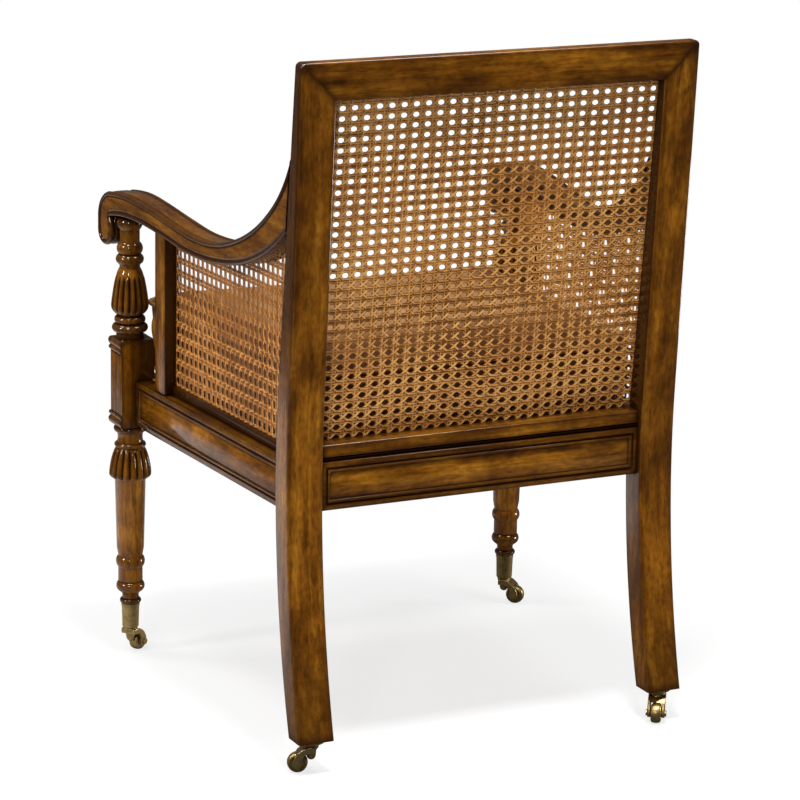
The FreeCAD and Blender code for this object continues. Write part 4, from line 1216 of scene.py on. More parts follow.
@dataclass
class FrontLegs:
    """Turned front legs: reeded bulb and vase, and a reeded block between banded ends at the seat."""

    leg_x: float = LEG_X
    leg_y: float = LEG_Y
    arm_seat: float = 640.35
    foot_bottom: float = 75.6
    block_low: float = 341.0
    block_high: float = 468.0
    half: float = 23.0
    face: float = 21.0
    band: float = 19.0
    reed: float = 13.0
    bulge: float = 2.2
    bulb: float = 29.4
    vase: float = 25.8
    ring: float = 20.9
    shaft: float = 19.6
    ankle: float = 12.0
    neck: float = 14.2
    lobes: int = 16
    lobe_depth: float = 3.2
    bulb_reeds: Flat = (78.0, 33.0)
    vase_reeds: Flat = (0.21, 0.525)
    inner_half: float = 28.0
    lit: float = 14.0
    steps: int = 160

    def lower_profile(self) -> list[Flat]:
        """Radius and height from the castor cup to the block.

        Returns:
            The profile.
        """
        cup, base = self.foot_bottom, self.block_low
        ankle, ring, shaft, bulb = self.ankle, self.ring, self.shaft, self.bulb
        path: list[Flat] = [(0.0, cup - 12.0), (ankle - 1.6, cup - 12.0), (ankle - 1.4, cup), (ankle, cup)]

        def arc(middle: Flat, end: Flat, steps: int = 8) -> None:
            """Go on along an arc."""
            path.extend(arc_points(path[-1], middle, end, steps))

        arc((ankle + 3.4, cup + 4), (ankle, cup + 8))
        path += [(ankle - 0.2, cup + 14), (ankle + 3, cup + 18)]
        arc((ring - 0.4, cup + 26), (ankle + 4, cup + 34), 10)
        path += [(shaft - 2, cup + 34.4), (shaft - 2, cup + 55)]
        arc((ring, cup + 64), (shaft - 2.2, cup + 72))
        path += [(shaft, cup + 84), (shaft + 2.4, base - 80), (bulb - 6, base - 78)]
        arc((bulb - 1.4, base - 75), (bulb, base - 68))
        arc((bulb - 2.8, base - 51), (ring - 0.9, base - 32), 14)
        arc((ring + 1.6, base - 28.5), (shaft - 0.6, base - 25))
        arc((shaft - 1.9, base - 18), (shaft - 0.6, base - 10))
        arc((ring + 2.6, base - 5), (ring - 0.9, base))
        return path + [(0.0, base)]

    def upper_profile(self) -> list[Flat]:
        """Radius and height from the block to the arm.

        Returns:
            The profile.
        """
        foot, rise = self.block_high, self.arm_seat - self.block_high
        ring, shaft, vase, neck = self.ring, self.shaft, self.vase, self.neck
        path: list[Flat] = [(0.0, foot), (ring - 0.9, foot), (shaft - 0.6, foot + 0.052 * rise)]

        def arc(middle: Flat, end: Flat, steps: int = 8) -> None:
            """Go on along an arc whose heights are shares of the rise."""
            stops = [(radius, foot + share * rise) for radius, share in (middle, end)]
            path.extend(arc_points(path[-1], stops[0], stops[1], steps))

        arc((vase - 0.3, 0.087), (shaft - 0.6, 0.125))
        arc((vase - 3.8, 0.16), (shaft - 2.6, 0.194))
        arc((vase - 0.6, 0.25), (vase, 0.296))
        arc((vase - 2.6, 0.406), (vase - 6.8, 0.528), 12)
        arc((vase - 8.8, 0.563), (neck, 0.592))
        path.append((neck + 0.8, foot + 0.618 * rise))
        arc((neck + 5.6, 0.661), (neck + 0.8, 0.702))
        arc((neck + 4.2, 0.754), (neck - 0.2, 0.801))
        path.append((neck - 0.2, foot + 0.905 * rise))
        arc((neck + 3.8, 0.952), (15.0, 1.0), 10)
        return path + [(0.0, self.arm_seat)]

    def carve(self, piece: Bench, low: float, high: float) -> None:
        """Carve the reeds of a bulb, deepest above its foot and running out at both ends.

        Args:
            piece: Turned piece.
            low: Height where the reeds begin.
            high: Height where they end.
        """
        spots = piece.points()
        share = np.clip((spots[:, 2] - low) / (high - low), 0, 1)
        fade = np.clip(share / 0.12, 0, 1) * np.clip((1 - share) / 0.09, 0, 1)
        angle = np.arctan2(spots[:, 1], spots[:, 0])
        crest = np.abs(np.sin(self.lobes * angle / 2))
        radius = np.hypot(spots[:, 0], spots[:, 1])
        cut = self.lobe_depth * fade * (1 - crest) ** 1.5 - 0.25 * self.lobe_depth * fade * crest
        scale = np.where(radius > 1, (radius - cut) / np.maximum(radius, 1), 1)
        spots[:, :2] *= scale[:, None]
        piece.place(spots)

    def block_plan(self, reach: float, bulge: float) -> list[Flat]:
        """Plan of the left block: three reeds on its outer and its front face.

        Args:
            reach: How far those faces stand from the middle.
            bulge: Rise of the reeds.

        Returns:
            Corners and reed points in order.
        """
        half, reed = self.half, self.reed
        # the corner at face - lit splits the rear face where the painted shadow of the post begins
        plan: list[Flat] = [(-self.inner_half, half), (self.face - self.lit, half), (reach, half)]
        spots = [(1.5 - number - step / 6) * reed for number in range(3) for step in range(6)]
        spots.append(-1.5 * reed)
        rises = [bulge * math.sin(math.pi * step / 6) for step in range(6)] * 3 + [0.0]
        plan += [(reach + rise, spot) for spot, rise in zip(spots, rises)]
        plan.append((reach, -reach))
        plan += [(spot, -reach - rise) for spot, rise in zip(spots, rises)]
        return plan + [(-self.inner_half, -reach)]

    def build_block(self) -> Bench:
        """Left block, raised from its lower band through the reeds to its cap.

        Returns:
            The block.
        """
        low, high, band = self.block_low, self.block_high, self.band
        cap = ((0.0, 21.0), (0.5, 22.3), (2.0, 23.2), (3.6, 23.4), (5.2, 22.9), (6.4, 21.9), (7.4, 21.7),
               (8.4, 22.4), (10.2, 23.4), (12.6, 23.8), (15.2, 23.5), (17.4, 22.6), (19.0, 21.0))
        levels = [(low + band - rise, reach, 0.0) for rise, reach in reversed(cap)]
        levels += [(low + band + 0.8, self.face, 0.0), (low + band + 2.4, self.face, self.bulge)]
        levels += [(high - band - 2.4, self.face, self.bulge), (high - band - 0.8, self.face, 0.0)]
        levels += [(high - band + rise, reach, 0.0) for rise, reach in cap]
        return Bench.loft("block", [[(x, y, z) for x, y in self.block_plan(reach, bulge)]
                                    for z, reach, bulge in levels])

    def polish(self, centre: Vector, normal: Vector) -> float:
        """Painted shadow of the post on the inner part of the block's rear face, painted shade on the inner
        side of the turning above the block, and a darker upper part of that turning.

        Args:
            centre: Middle of a face in millimetres.
            normal: The face's normal.

        Returns:
            How dark the face is.
        """
        share = (centre.z - self.block_high) / (self.arm_seat - self.block_high)
        if share > 0.0:
            return max(0.5 * (share > 0.6), -0.7 * normal.x)
        return 0.6 * (normal.y > 0.9 and centre.x < self.face - self.lit and centre.z > self.block_low)

    def build(self) -> None:
        """Make and dress both legs."""
        lower = Bench.turning("front_leg_left_wood", self.lower_profile(), self.steps)
        self.carve(lower, *(self.block_low - drop for drop in self.bulb_reeds))
        upper = Bench.turning("upper", self.upper_profile(), self.steps)
        rise = self.arm_seat - self.block_high
        self.carve(upper, *(self.block_high + share * rise for share in self.vase_reeds))
        left = lower.join(upper, self.build_block()).paint_shade(self.polish)
        left.shift(Matrix.Translation((self.leg_x * MM, self.leg_y * MM, 0.0))).smooth(36)
        hand_over_pair(left, "front_leg", Grain.UPRIGHT)


@dataclass
class SidePosts:
    """Posts behind the front legs and the thin rails under the side canes."""

    arms: Arms
    distance: float = 57.0
    depth: float = 33.0
    thickness: float = 22.0
    inset: float = 3.0
    ear: float = 14.0
    ear_height: float = 96.0
    rail_top: float = RAIL_TOP
    panel_height: float = 14.0
    panel_thickness: float = 10.0
    joint: float = 0.3

    def build_side(self, side: Side) -> None:
        """Make and dress one side's post and rail.

        Args:
            side: Which side.
        """
        plane = SideFrame(side)
        start, end = self.distance, self.distance + self.depth
        ear, top = self.ear, self.rail_top + self.ear_height
        path = [(start, self.rail_top), (end, self.rail_top)]
        for run in (end, start):
            height = self.arms.underside(plane.front_y + run * math.cos(plane.splay))
            path.append((run, height - self.joint))
        path.append((start, top + ear))
        path += arc_points(path[-1], (start - 0.8 * ear, top), (start - 0.8 * ear, top - ear), 8)
        path += smooth_points([path[-1], (start - 0.35 * ear, top - 2.0 * ear), (start, top - 2.8 * ear)], 4)
        levels = (self.inset, self.inset + self.thickness)
        post = Bench.loft(f"side_upright_{side.tag}_wood", [[(x, z, w) for x, z in path] for w in levels])
        post.soften(1.6, 3, 50).shift(plane.matrix()).tidy().smooth(40)
        # painted shade on the post's rear face, under the arm
        post.paint_shade(lambda centre, normal: 0.93 * (normal.y > 0.7))
        post.dress(WALNUT).hand_over(f"side_upright_{side.tag}")
        far = self.inset + self.thickness
        near = far - self.panel_thickness
        stop = plane.run(FRONT_FACE.y(self.rail_top), far) - self.joint
        high = self.rail_top + self.panel_height
        rail = Bench.box(f"side_panel_rail_{side.tag}_wood", (end, self.rail_top, near), (stop, high, far))
        # the rail under the side cane is darkened all over as painted shade
        rail.soften(2.0, 3).shift(plane.matrix()).tidy().smooth(40).paint_shade(lambda centre, normal: 0.55)
        rail.dress(WALNUT, Grain.DEEP).hand_over(f"side_panel_rail_{side.tag}")

    def build(self) -> None:
        """Make and dress both sides."""
        for side in Side:
            self.build_side(side)


@dataclass
class CaneSheet:
    """Hand-woven cane: pairs of upright and level strands, with diagonals that cut the holes' corners."""

    name: str
    node: str
    low: Flat
    high: Flat
    pitch: Flat
    inside: Callable[[float, float], bool]
    matrix: Matrix
    pair: Flat = (2.3, 1.8)
    strand: Flat = (4.3, 3.5)
    diagonal: Flat = (3.3, 3.5)
    thickness: float = 0.8
    wander: float = 1.1
    fine: int = 2

    def lay_strand(self, path: np.ndarray, wide: float) -> Bench:
        """One strand, a grid rolled into a thin lens along a path.

        Args:
            path: Points of run, rise and layer.
            wide: Width of the strand.

        Returns:
            The strand.
        """
        deselect_all()
        bpy.ops.mesh.primitive_grid_add(x_subdivisions=4, y_subdivisions=len(path) - 1, size=1.0)
        bench = Bench.take("strand")
        grid = bench.points() * MM
        column = np.rint((grid[:, 0] + 0.5) * 4).astype(int)
        row = np.rint((grid[:, 1] + 0.5) * (len(path) - 1)).astype(int)
        along = np.gradient(path[:, :2], axis=0)
        along /= np.linalg.norm(along, axis=1)[:, None]
        across = np.stack([-along[:, 1], along[:, 0]], axis=1)
        lens = np.array([(-0.5 * wide, 0.0), (0.0, 0.6 * self.thickness), (0.5 * wide, 0.0),
                         (0.0, -0.4 * self.thickness), (-0.5 * wide, 0.0)])
        spots = path[row].copy()
        spots[:, :2] += across[row] * lens[column, 0][:, None]
        spots[:, 2] += lens[column, 1]
        bench.place(spots)
        # painted light across the strand: a painted highlight on its top, painted shade at its edges
        shade = np.array((-0.7, 0.24, -0.7, -0.2, -0.7))[column]
        bench.mesh.attributes.new("tone_and_light", "FLOAT", "POINT").data.foreach_set("value", shade)
        return bench.tidy()

    def repeat(self, strand: Bench, count: int, step: Flat, tone_and_light: float) -> Bench:
        """Repeat a strand at even steps, each a little lighter or darker than the next.

        Args:
            strand: Finished strand.
            count: How many.
            step: Distance from one to the next.
            tone_and_light: How light the strands are, about; the diagonals are set lighter as a painted
                highlight.

        Returns:
            All of them as one piece.
        """
        each = len(strand.mesh.vertices)
        strand.modify("ARRAY", count=count, use_relative_offset=False, use_constant_offset=True,
                      constant_offset_displace=(step[0] * MM, step[1] * MM, 0.0))
        number = np.arange(len(strand.mesh.vertices)) // each
        tones = np.zeros(len(number))
        shades = strand.mesh.attributes["tone_and_light"].data
        shades.foreach_get("value", tones)
        shades.foreach_set("value", tones + tone_and_light + 0.22 * np.sin(number * 12.9898 + 40.0 * tone_and_light))
        return strand

    def strands(self) -> list[Bench]:
        """Every strand of the sheet, before it is cut to its outline.

        Returns:
            One piece for each family of strands.
        """
        (u0, v0), (pu, pv) = self.low, self.pitch
        columns = int(math.ceil((self.high[0] - u0) / pu)) + 1
        rows = int(math.ceil((self.high[1] - v0) / pv)) + 1
        layer = 0.75 * self.thickness
        sheets = []
        rise = np.linspace(0.0, rows, rows * self.fine + 1)
        for place, sign in ((-1, -1), (1, 1)):
            sway = sign * layer * (0.35 + 0.15 * np.cos(2 * math.pi * rise))
            path = np.stack([np.full_like(rise, u0 + place * self.pair[0]), v0 + rise * pv, sway], axis=1)
            strand = self.lay_strand(path, self.strand[0])
            sheets.append(self.repeat(strand, columns, (pu, 0.0), 0.36 + 0.08 * sign))
        run = np.linspace(0.0, columns, columns * 2 * self.fine + 1)
        for place in (-1, 1):
            turn = 2 * math.pi * run
            weave = layer * (1.9 * np.sin(turn) if place > 0 else 0.15 * np.cos(turn))
            path = np.stack([u0 + run * pu, np.full_like(run, v0 + place * self.pair[1]), weave], axis=1)
            strand = self.lay_strand(path, self.strand[1])
            sheets.append(self.repeat(strand, rows, (0.0, pv), 0.40 + 0.08 * place))
        for sign, wide in zip((1, -1), self.diagonal):
            weave = layer * (1.3 * np.cos(2 * math.pi * run) - 0.25 * sign)
            start = -columns - 0.5 if sign > 0 else -0.5
            path = np.stack([u0 + run * pu, v0 + (start + sign * run) * pv, weave], axis=1)
            strand = self.lay_strand(path, wide)
            # the diagonals get a lighter tone as a painted highlight
            sheets.append(self.repeat(strand, rows + columns + 1, (0.0, pv), 0.82 - 0.04 * sign))
        return sheets

    def build(self) -> None:
        """Weave the sheet, cut it to its outline and dress it."""
        sheets = self.strands()
        sheet = sheets[0].join(*sheets[1:]).call(self.name)
        sheet.pick(lambda centre, normal: not self.inside(centre.x, centre.y))
        with sheet.editing():
            bpy.ops.mesh.delete(type="FACE")
            bpy.ops.mesh.select_all(action="SELECT")
            bpy.ops.mesh.fill_holes(sides=6)
        wander = bpy.data.textures.new(f"{self.name}_wander", "CLOUDS")
        wander.noise_scale, wander.cloud_type = 0.045, "COLOR"
        sheet.modify("DISPLACE", texture=wander, texture_coords="LOCAL", direction="RGB_TO_XYZ",
                     strength=self.wander * MM, mid_level=0.5)
        sheet.shift(self.matrix).tidy().smooth(60)
        sheet.dress(CANE).hand_over(self.node)


@dataclass
class CanePanels:
    """The caned back, sides and seat."""

    arms: Arms
    run_in: float = 3.0

    def back(self) -> CaneSheet:
        """Cane of the back, raked with the stiles.

        Returns:
            The sheet.
        """
        lean = math.radians(FRONT_FACE.lean)
        low, high, half = CANE_LOW, CREST_BOTTOM, BACK_HALF
        foot_y = FRONT_FACE.y(high) + 6.0 - (high - low) * math.tan(lean) + 1.2
        rise = (high - low) / math.cos(lean)
        grow = self.run_in
        sine, cosine = math.sin(lean), math.cos(lean)
        turn = Matrix(((1, 0, 0), (0, sine, cosine), (0, cosine, -sine))).to_4x4()
        matrix = Matrix.Translation((0.0, foot_y * MM, low * MM)) @ turn
        pitch = (17.31, rise / 33)
        return CaneSheet("back_cane_weave", "back_cane", (-half - 2.3, -5.6), (half, rise), pitch,
                         lambda u, v: abs(u) < half + grow and -grow < v < rise + grow, matrix)

    def side(self, side: Side) -> CaneSheet:
        """Cane of one side, under the arm.

        Args:
            side: Which side.

        Returns:
            The sheet.
        """
        plane = SideFrame(side)
        inward, start, low, grow = 20.2, 90.0, 423.0, self.run_in
        end = plane.run(FRONT_FACE.y(self.arms.bottom), inward)
        curve = [(run, self.arms.underside(plane.front_y + run * math.cos(plane.splay)))
                 for run in np.linspace(start - 8, end + 8, 60)]
        runs, tops = [p[0] for p in curve], [p[1] for p in curve]

        def inside(u: float, v: float) -> bool:
            """Whether a point lies behind the post, before the stile and under the arm."""
            rear = plane.run(FRONT_FACE.y(max(v, 400.0)), inward)
            return start - grow < u < rear + grow and low - grow < v < float(np.interp(u, runs, tops)) + grow

        matrix = plane.matrix() @ Matrix.Translation((0.0, 0.0, inward * MM))
        return CaneSheet(f"side_cane_{side.tag}_weave", f"side_cane_{side.tag}", (start, low),
                         (end + 6, self.arms.bottom + 8), (14.0, 18.0), inside, matrix, pair=(1.7, 2.7),
                         strand=(3.8, 4.3), diagonal=(1.7, 1.7), thickness=0.95, wander=0.3)

    def seat(self) -> CaneSheet:
        """Cane of the seat, under the cushion.

        Returns:
            The sheet.
        """
        front, knee, rear = -242.0, RAIL_FRONT, 215.2
        half_front, half_rear = 278.7, 254.7

        def inside(u: float, v: float) -> bool:
            """Whether a point lies within the rails."""
            half = half_front + (half_rear - half_front) * fade(v, knee, rear)
            return front < v < rear and abs(u) < half

        matrix = Matrix.Translation((0.0, 0.0, (RAIL_TOP + 1.0) * MM))
        return CaneSheet("seat_cane_weave", "seat_cane", (-half_front, front), (half_front, rear),
                         (16.4, 16.4), inside, matrix, fine=1, thickness=0.5)

    def build(self) -> None:
        """Weave all four sheets."""
        for sheet in (self.back(), self.side(Side.LEFT), self.side(Side.RIGHT), self.seat()):
            sheet.build()


@dataclass
class SeatCushion:
    """Loose leather box cushion: filled by a cloth simulation, with piping along both seams."""

    base: float = 411.6
    front: float = -278.0
    rear: float = 212.5
    half_front: float = 273.0
    half_rear: float = 247.0
    corner: float = 30.0
    low_seam: float = 14.0
    high_seam: float = 104.0
    piping: float = 3.0
    voxel: float = 7.0
    pressure: float = 4.0
    most: float = 14.0
    frames: int = 20
    # widths of the painted shade along the sides and the rear of the top
    kept: Flat = (60.0, 105.0)
    steps: tuple[Flat, ...] = ((12.0, 0.0), (3.0, 6.0), (0.0, 14.0), (2.0, 36.0), (3.0, 59.0), (2.0, 82.0),
                               (0.0, 104.0), (5.0, 110.0), (22.0, 116.0), (60.0, 120.0), (120.0, 122.0))

    def plan(self, inset: float) -> list[Flat]:
        """Plan of the cushion drawn in by an inset, with rounded corners.

        Args:
            inset: Distance drawn in.

        Returns:
            Points round it.
        """
        front, rear = self.front + inset, self.rear - inset
        wide, narrow = self.half_front - inset, self.half_rear - inset
        radius = max(self.corner - 0.15 * inset, 12.0)
        corners = [(-wide, front, 180.0), (wide, front, 270.0), (narrow, rear, 0.0), (-narrow, rear, 90.0)]
        points = []
        for x, y, turn in corners:
            middle = (x - math.copysign(radius, x), y + radius if y < 0 else y - radius)
            for step in range(8):
                angle = math.radians(turn + 90.0 * step / 7)
                points.append((middle[0] + radius * math.cos(angle), middle[1] + radius * math.sin(angle)))
        return points

    def fill(self, cushion: Bench) -> None:
        """Fill the cushion: pressure swells the panels between the seams.

        Args:
            cushion: Remeshed cushion.
        """
        start = cushion.points()
        seams = np.array(self.plan(0.0))
        near = np.array([np.hypot(seams[:, 0] - x, seams[:, 1] - y).min() for x, y, _ in start])
        rise = start[:, 2] - self.base
        on_seam = np.minimum(abs(rise - self.low_seam), abs(rise - self.high_seam)) < 4.5
        edge = self.edge_gap(start[:, :2]) < 6.0
        held = (on_seam & (edge | (near < 6.0))) | (rise < 5.0)
        pins = cushion.piece.vertex_groups.new(name="seams")
        pins.add([int(i) for i in np.nonzero(held)[0]], 1.0, "REPLACE")
        cloth = cushion.piece.modifiers.new("filling", "CLOTH")
        settings = cloth.settings
        settings.quality, settings.mass = 5, 0.4
        settings.use_pressure, settings.uniform_pressure_force = True, self.pressure
        settings.effector_weights.gravity = 0.0
        settings.vertex_group_mass = pins.name
        cloth.collision_settings.use_collision = False
        cloth.point_cache.frame_end = self.frames
        scene = bpy.context.scene
        for number in range(1, self.frames + 1):
            scene.frame_set(number)
        graph = bpy.context.evaluated_depsgraph_get()
        swelled = np.array([vertex.co for vertex in cushion.piece.evaluated_get(graph).data.vertices]) / MM
        cushion.piece.modifiers.remove(cloth)
        scene.frame_set(1)
        moved = swelled - start
        length = np.linalg.norm(moved, axis=1)
        cap = np.minimum(1.0, self.most / np.maximum(length, 1e-6))
        cushion.place(start + moved * cap[:, None])

    def edge_gap(self, spots: np.ndarray) -> np.ndarray:
        """Distance of points from the cushion's outline in plan.

        Args:
            spots: Points in plan.

        Returns:
            Distances.
        """
        plan = np.array(self.plan(0.0))
        gaps = np.full(len(spots), 1e9)
        for begin, end in zip(plan, np.roll(plan, -1, axis=0)):
            run = end - begin
            share = np.clip(((spots - begin) @ run) / max(run @ run, 1e-9), 0, 1)
            gaps = np.minimum(gaps, np.linalg.norm(spots - begin - share[:, None] * run, axis=1))
        return gaps

    def pipe(self, level: float) -> Bench:
        """Piping round one seam, a ring drawn out to the cushion's plan.

        Args:
            level: Height of the seam over the base.

        Returns:
            The piping.
        """
        plan = np.array(self.plan(-0.8))
        closed = np.vstack([plan, plan[:1]])
        length = np.concatenate([[0.0], np.cumsum(np.linalg.norm(np.diff(closed, axis=0), axis=1))])
        core, near = 0.1, 2.0

        def spot(reach: np.ndarray) -> np.ndarray:
            """Points at distances along the plan."""
            reach = np.mod(reach, length[-1])
            return np.stack([np.interp(reach, length, closed[:, axis]) for axis in (0, 1)], axis=1)

        deselect_all()
        bpy.ops.mesh.primitive_torus_add(major_segments=220, minor_segments=8, major_radius=1.0,
                                         minor_radius=core)
        ring = Bench.take("piping")
        x, y, z = (ring.points() * MM).T
        place = np.mod(np.arctan2(y, x), 2 * math.pi) / (2 * math.pi) * length[-1]
        out, up = (np.hypot(x, y) - 1.0) / core * self.piping, z / core * self.piping
        along = spot(place + near) - spot(place - near)
        along /= np.linalg.norm(along, axis=1)[:, None]
        normal = np.stack([along[:, 1], -along[:, 0]], axis=1)
        ring.place(np.column_stack([spot(place) + normal * out[:, None], self.base + level + up]))
        return ring.tidy().smooth(60)

    def cushion_shade(self, centre: Vector, normal: Vector) -> float:
        """Painted shade on the hide: on the boxing, and on the top along the sides and the rear.

        Args:
            centre: Middle of a face.
            normal: Its normal.

        Returns:
            Share of the painted shade.
        """
        if abs(normal.z) < 0.5:
            return 0.6
        share = (centre.y - self.front) / (self.rear - self.front)
        side = self.half_front + (self.half_rear - self.half_front) * share - abs(centre.x)
        near = min(side / self.kept[0], (self.rear - centre.y) / self.kept[1])
        share = fade(near, 1.5, 0.5)
        return 0.92 * share * share * (3.0 - 2.0 * share)

    def build(self) -> None:
        """Make, fill and dress the cushion."""
        sections = [[(x, y, self.base + rise) for x, y in self.plan(inset)] for inset, rise in self.steps]
        cushion = Bench.loft("seat_cushion_leather", sections)
        cushion.modify("REMESH", mode="VOXEL", voxel_size=self.voxel * MM)
        self.fill(cushion)
        cushion.modify("SUBSURF", levels=1, render_levels=1)
        cushion.paint_shade(self.cushion_shade).smooth(80).dress(LEATHER)
        cushion.hand_over("seat_cushion")
        for name, level in (("low", self.low_seam), ("high", self.high_seam)):
            self.pipe(level).call(f"seat_cushion_piping_{name}").dress(LEATHER).hand_over()


@dataclass
class Castors:
    """Brass castors: horns with arched cheeks and a drop boss, and round-treaded wheels."""

    trail: float = 18.0
    axle: float = 13.8
    wheel_radius: float = 13.8
    wheel_half: float = 7.0
    hub: float = 6.3
    top: float = 38.6
    cheek_inner: float = 7.5
    cheek_outer: float = 12.0
    bore: float = 2.6
    places: dict[str, Point] = field(default_factory=lambda: {
        "rear_left": (261.5, 283.917, -24.5), "rear_right": (-261.5, 283.917, 56.0),
        "front_left": (LEG_X, LEG_Y, -146.6), "front_right": (-LEG_X, LEG_Y, 137.0)})

    def cheek_outline(self) -> list[Flat]:
        """Side view of a cheek, arched from the boss over to the hub.

        Returns:
            Points of reach and height.
        """
        trail, axle, hub = self.trail, self.axle, self.hub
        path = [(-6.5, 36.0)]
        path += smooth_points([path[-1], (4.0, 36.8), (13.0, 33.0), (20.4, 25.0), (trail + hub, axle)], 6)
        path += arc_points(path[-1], (trail, axle - hub), (trail - hub, axle), 12)
        back = [(11.2, 20.0), (8.6, 25.0), (5.2, 27.6), (-1.0, 28.6), (-6.5, 28.8)]
        return path + smooth_points([path[-1], *back], 5)

    def build_horn(self) -> Bench:
        """Horn in its own frame, its parts melted into one casting.

        Returns:
            The horn.
        """
        outline = self.cheek_outline()
        parts = []
        for sign in (-1, 1):
            levels = (sign * self.cheek_inner, sign * self.cheek_outer)
            parts.append(Bench.loft("cheek", [[(x, y, z) for x, z in outline] for y in levels]))
        arch = [(x, max(z, self.axle + self.wheel_radius + 0.8)) for x, z in outline]
        levels = (-self.cheek_outer, self.cheek_outer)
        crown = Bench.loft("crown", [[(x, y, z) for x, z in arch] for y in levels])
        top, stem = self.top, self.top + 10.0
        boss = [(0.0, 17.4), (2.2, 17.8), (4.2, 19.0), (5.6, 21.0), (6.3, 23.6), (6.6, 27.0), (6.8, 30.0),
                (8.0, 33.0), (9.6, 34.4), (10.0, 36.0), (10.0, top), (4.0, top), (4.0, stem), (0.0, stem)]
        horn = Bench.turning("horn", boss, 40).join(crown, *parts)
        horn.modify("REMESH", mode="VOXEL", voxel_size=0.55 * MM)
        horn.modify("SMOOTH", factor=0.5, iterations=6)
        return horn.smooth(60)

    def build_wheel(self) -> Bench:
        """Wheel about the axle in the castor's own frame.

        Returns:
            The wheel.
        """
        half, radius = self.wheel_half, self.wheel_radius
        profile = [(self.bore, -half), (5.2, -half), (6.0, -half + 0.9), (9.4, -half + 0.9), (10.2, -half)]
        profile += arc_points(profile[-1], (radius - 1.1, -half + 1.5), (radius - 0.5, -half + 3.4), 5)
        profile += arc_points(profile[-1], (radius, 0.0), (radius - 0.5, half - 3.4), 8)
        profile += arc_points(profile[-1], (radius - 1.1, half - 1.5), (10.2, half), 5)
        profile += [(9.4, half - 0.9), (6.0, half - 0.9), (5.2, half), (self.bore, half), (self.bore, -half)]
        wheel = Bench.turning("wheel", profile, 64)
        place = Matrix.Translation((self.trail * MM, 0.0, self.axle * MM))
        return wheel.shift(place @ Matrix.Rotation(math.pi / 2, 4, "X")).smooth(40)

    def build(self) -> None:
        """Make one castor, then copy it to the four legs."""
        horn, wheel = self.build_horn(), self.build_wheel()
        for name, (x, y, turn) in self.places.items():
            matrix = Matrix.Translation((x * MM, y * MM, 0.0)) @ Matrix.Rotation(math.radians(turn), 4, "Z")
            for master, part, body in ((horn, "horn", "castor"), (wheel, "wheel", "wheel")):
                one = master.copy(f"castor_{part}_{name}_brass").shift(matrix).dress(BRASS)
                one.hand_over(f"castor_{part}_{name}", body=f"{body}_{name}")
        for master in (horn, wheel):
            bpy.data.objects.remove(master.piece)


@dataclass
class HiddenJoinery:
    """CAD nodes that keep their shape: castor mounts, corner blocks and fasteners."""

    def build(self) -> None:
        """Give each node its finish."""
        for name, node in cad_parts.items():
            if node.hide_render:
                continue
            if name.startswith(("castor_cup_front", "castor_plate_rear", "castor_axle")):
                finish = BRASS
            elif name.startswith(("castor", "corner_block_screws")):
                finish = STEEL
            else:
                finish = WALNUT
            material = finish.material()
            for index in range(len(node.material_slots)):
                node.material_slots[index].material = material
            if not node.material_slots:
                node.data.materials.append(material)


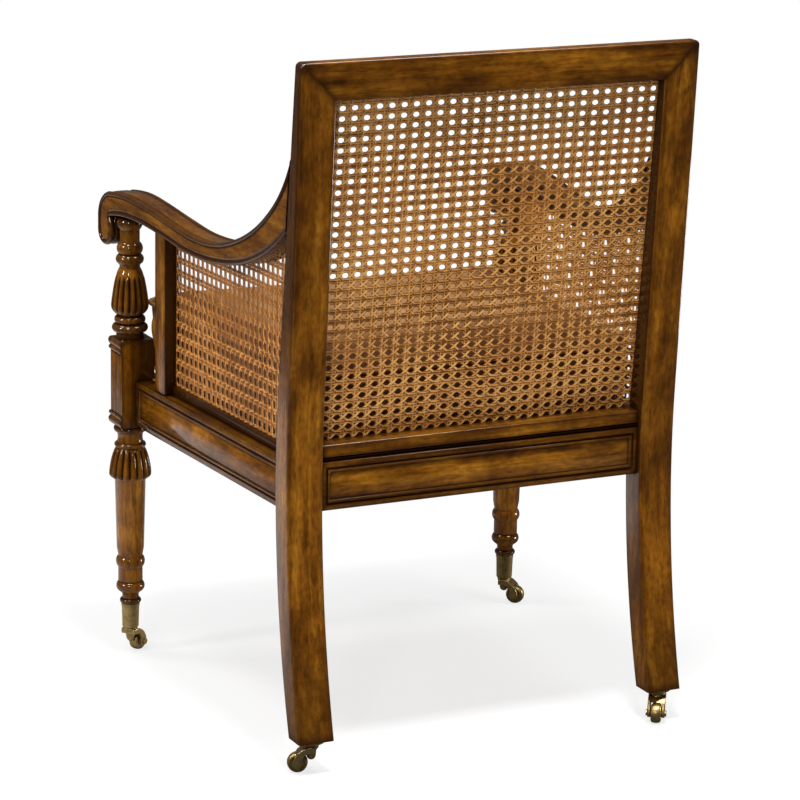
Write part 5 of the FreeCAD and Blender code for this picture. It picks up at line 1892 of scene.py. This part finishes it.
@dataclass
class Studio:
    """Camera, pale floor, soft lights and white surroundings."""

    place: Point = (2028.7, 4142.1, 1633.5)
    yaw: float = 26.066
    pitch: float = 14.864
    roll: float = 1.0815
    lens: float = 154.75
    sensor: float = 36.0
    floor_grey: float = 0.86
    fade_start: float = 0.25
    fade_end: float = 1.2
    least_white: float = 0.72
    bright_spot: Point = (0.6, -0.9, 0.0)
    mirror: float = 0.08
    ambient: float = 0.09
    dim: float = 0.05
    bright_side: Point = (0.35, -0.9, 0.25)

    def build_camera(self) -> None:
        """Set the camera where the photograph was taken from."""
        yaw, pitch, roll = (math.radians(a) for a in (self.yaw, self.pitch, self.roll))
        level = math.cos(pitch)
        ahead = Vector((-math.sin(yaw) * level, -math.cos(yaw) * level, -math.sin(pitch)))
        right = Vector((-math.cos(yaw), math.sin(yaw), 0.0))
        up = right.cross(ahead)
        turned = math.cos(roll) * right + math.sin(roll) * up
        upright = -math.sin(roll) * right + math.cos(roll) * up
        data = bpy.data.cameras.new("camera")
        data.lens, data.sensor_width, data.clip_end = self.lens, self.sensor, 50.0
        camera = bpy.data.objects.new("camera", data)
        bpy.context.collection.objects.link(camera)
        turn = Matrix((turned, upright, -ahead)).transposed().to_4x4()
        camera.matrix_world = Matrix.Translation(Vector(self.place) * MM) @ turn
        bpy.context.scene.camera = camera

    def build_floor(self) -> None:
        """Lay a pale floor that ends a little behind the chair."""
        deselect_all()
        bpy.ops.mesh.primitive_plane_add(size=1.0)
        floor = Bench.take("floor")
        low, high = np.array((-4500.0, -6500.0)), np.array((4500.0, 1100.0))
        spots = floor.points()
        spots[:, :2] = np.where(spots[:, :2] > 0, high, low)
        floor.place(spots)
        material = bpy.data.materials.new("pale_floor")
        material.use_nodes = True
        shader = material.node_tree.nodes["Principled BSDF"]
        shader.inputs["Base Color"].default_value = (self.floor_grey, self.floor_grey, self.floor_grey, 1.0)
        shader.inputs["Roughness"].default_value = 0.9
        shader.inputs["Specular IOR Level"].default_value = 0.1
        graph = Graph(material.node_tree)
        flat = graph.stretch(graph.add("ShaderNodeTexCoord").outputs["Object"], (1.0, 1.0, 0.0))
        gap, apart = (graph.gauge("DISTANCE", flat, spot) for spot in ((0.0, 0.0, 0.0), self.bright_spot))
        seen, glossy = graph.seen(), graph.add("ShaderNodeLightPath").outputs["Is Glossy Ray"]
        white = graph.add("ShaderNodeEmission", {"Strength": graph.math("MAXIMUM", seen, self.mirror)})
        pale = graph.span(gap, self.fade_start, self.fade_end, self.least_white, 1.0)
        mirrored = graph.math("MULTIPLY", glossy, graph.span(apart, 0.5, 1.1, 0.5, 0.98))
        share = graph.math("MAXIMUM", graph.math("MULTIPLY", seen, pale), mirrored)
        both = graph.add("ShaderNodeMixShader", {0: share, 1: shader.outputs[0], 2: white.outputs[0]})
        end = material.node_tree.nodes["Material Output"]
        graph.tree.links.new(both.outputs[0], end.inputs["Surface"])
        floor.mesh.materials.append(material)

    def build_light(self, name: str, place: Point, aim: Point, size: Flat, power: float) -> None:
        """Hang one softbox.

        Args:
            name: Its name.
            place: Where it hangs, in metres.
            aim: Where it points, in metres.
            size: Width and height, in metres.
            power: Watts.
        """
        data = bpy.data.lights.new(name, "AREA")
        data.shape, data.size, data.size_y, data.energy = "RECTANGLE", size[0], size[1], power
        lamp = bpy.data.objects.new(name, data)
        bpy.context.collection.objects.link(lamp)
        lamp.location = place
        lamp.rotation_euler = (Vector(aim) - Vector(place)).to_track_quat("-Z", "Y").to_euler()

    def build_world(self) -> None:
        """White to the camera, soft grey as light, dim behind the camera."""
        world = bpy.data.worlds.new("studio")
        bpy.context.scene.world = world
        world.use_nodes = True
        graph = Graph(world.node_tree)
        end = world.node_tree.nodes["Background"]
        direction = graph.add("ShaderNodeTexCoord").outputs["Generated"]
        aim = graph.gauge("DOT_PRODUCT", direction, self.bright_side)
        soft = graph.span(aim, -0.5, 0.4, self.dim, self.ambient)
        graph.tree.links.new(graph.math("MAXIMUM", soft, graph.seen()), end.inputs["Strength"])
        end.inputs["Color"].default_value = (1.0, 1.0, 1.0, 1.0)

    def build(self) -> None:
        """Set up the studio."""
        self.build_camera()
        self.build_floor()
        self.build_world()
        self.build_light("key", (0.2, 0.95, 3.2), (0.0, 0.0, 0.3), (0.4, 0.4), 76.0)
        self.build_light("crest_box", (-0.95, 0.8, 3.2), (0.0, 0.1, 0.5), (0.8, 0.9), 36.0)
        self.build_light("left_top", (1.1, 0.6, 3.0), (0.2, 0.0, 0.4), (0.6, 0.6), 30.0)
        self.build_light("front_top", (1.3, -1.0, 2.8), (0.2, 0.0, 0.4), (0.6, 0.6), 26.0)
        self.build_light("left_box", (3.0, -0.1, 1.9), (0.0, 0.0, 0.5), (0.4, 0.8), 44.0)
        self.build_light("camera_box", (2.6, 3.2, 2.4), (0.0, 0.0, 0.5), (0.25, 0.5), 36.0)
        self.build_light("right_low", (-1.6, 0.25, 0.3), (-0.3, -0.25, 0.25), (0.3, 0.3), 10.0)
        bpy.context.scene.view_settings.view_transform = "Standard"


def main() -> None:
    """Build the chair piece by piece, then the studio."""
    logging.basicConfig(level=logging.INFO, format="%(name)s: %(message)s")
    arms = Arms()
    stages = [BackFrame(), PanelRails(), arms, FrontLegs(), SidePosts(arms), CanePanels(arms), SeatCushion(),
              Castors(), HiddenJoinery(), Studio()]
    for stage in stages:
        stage.build()
        log.info("%s built", type(stage).__name__)


if __name__ == "__main__":
    main()
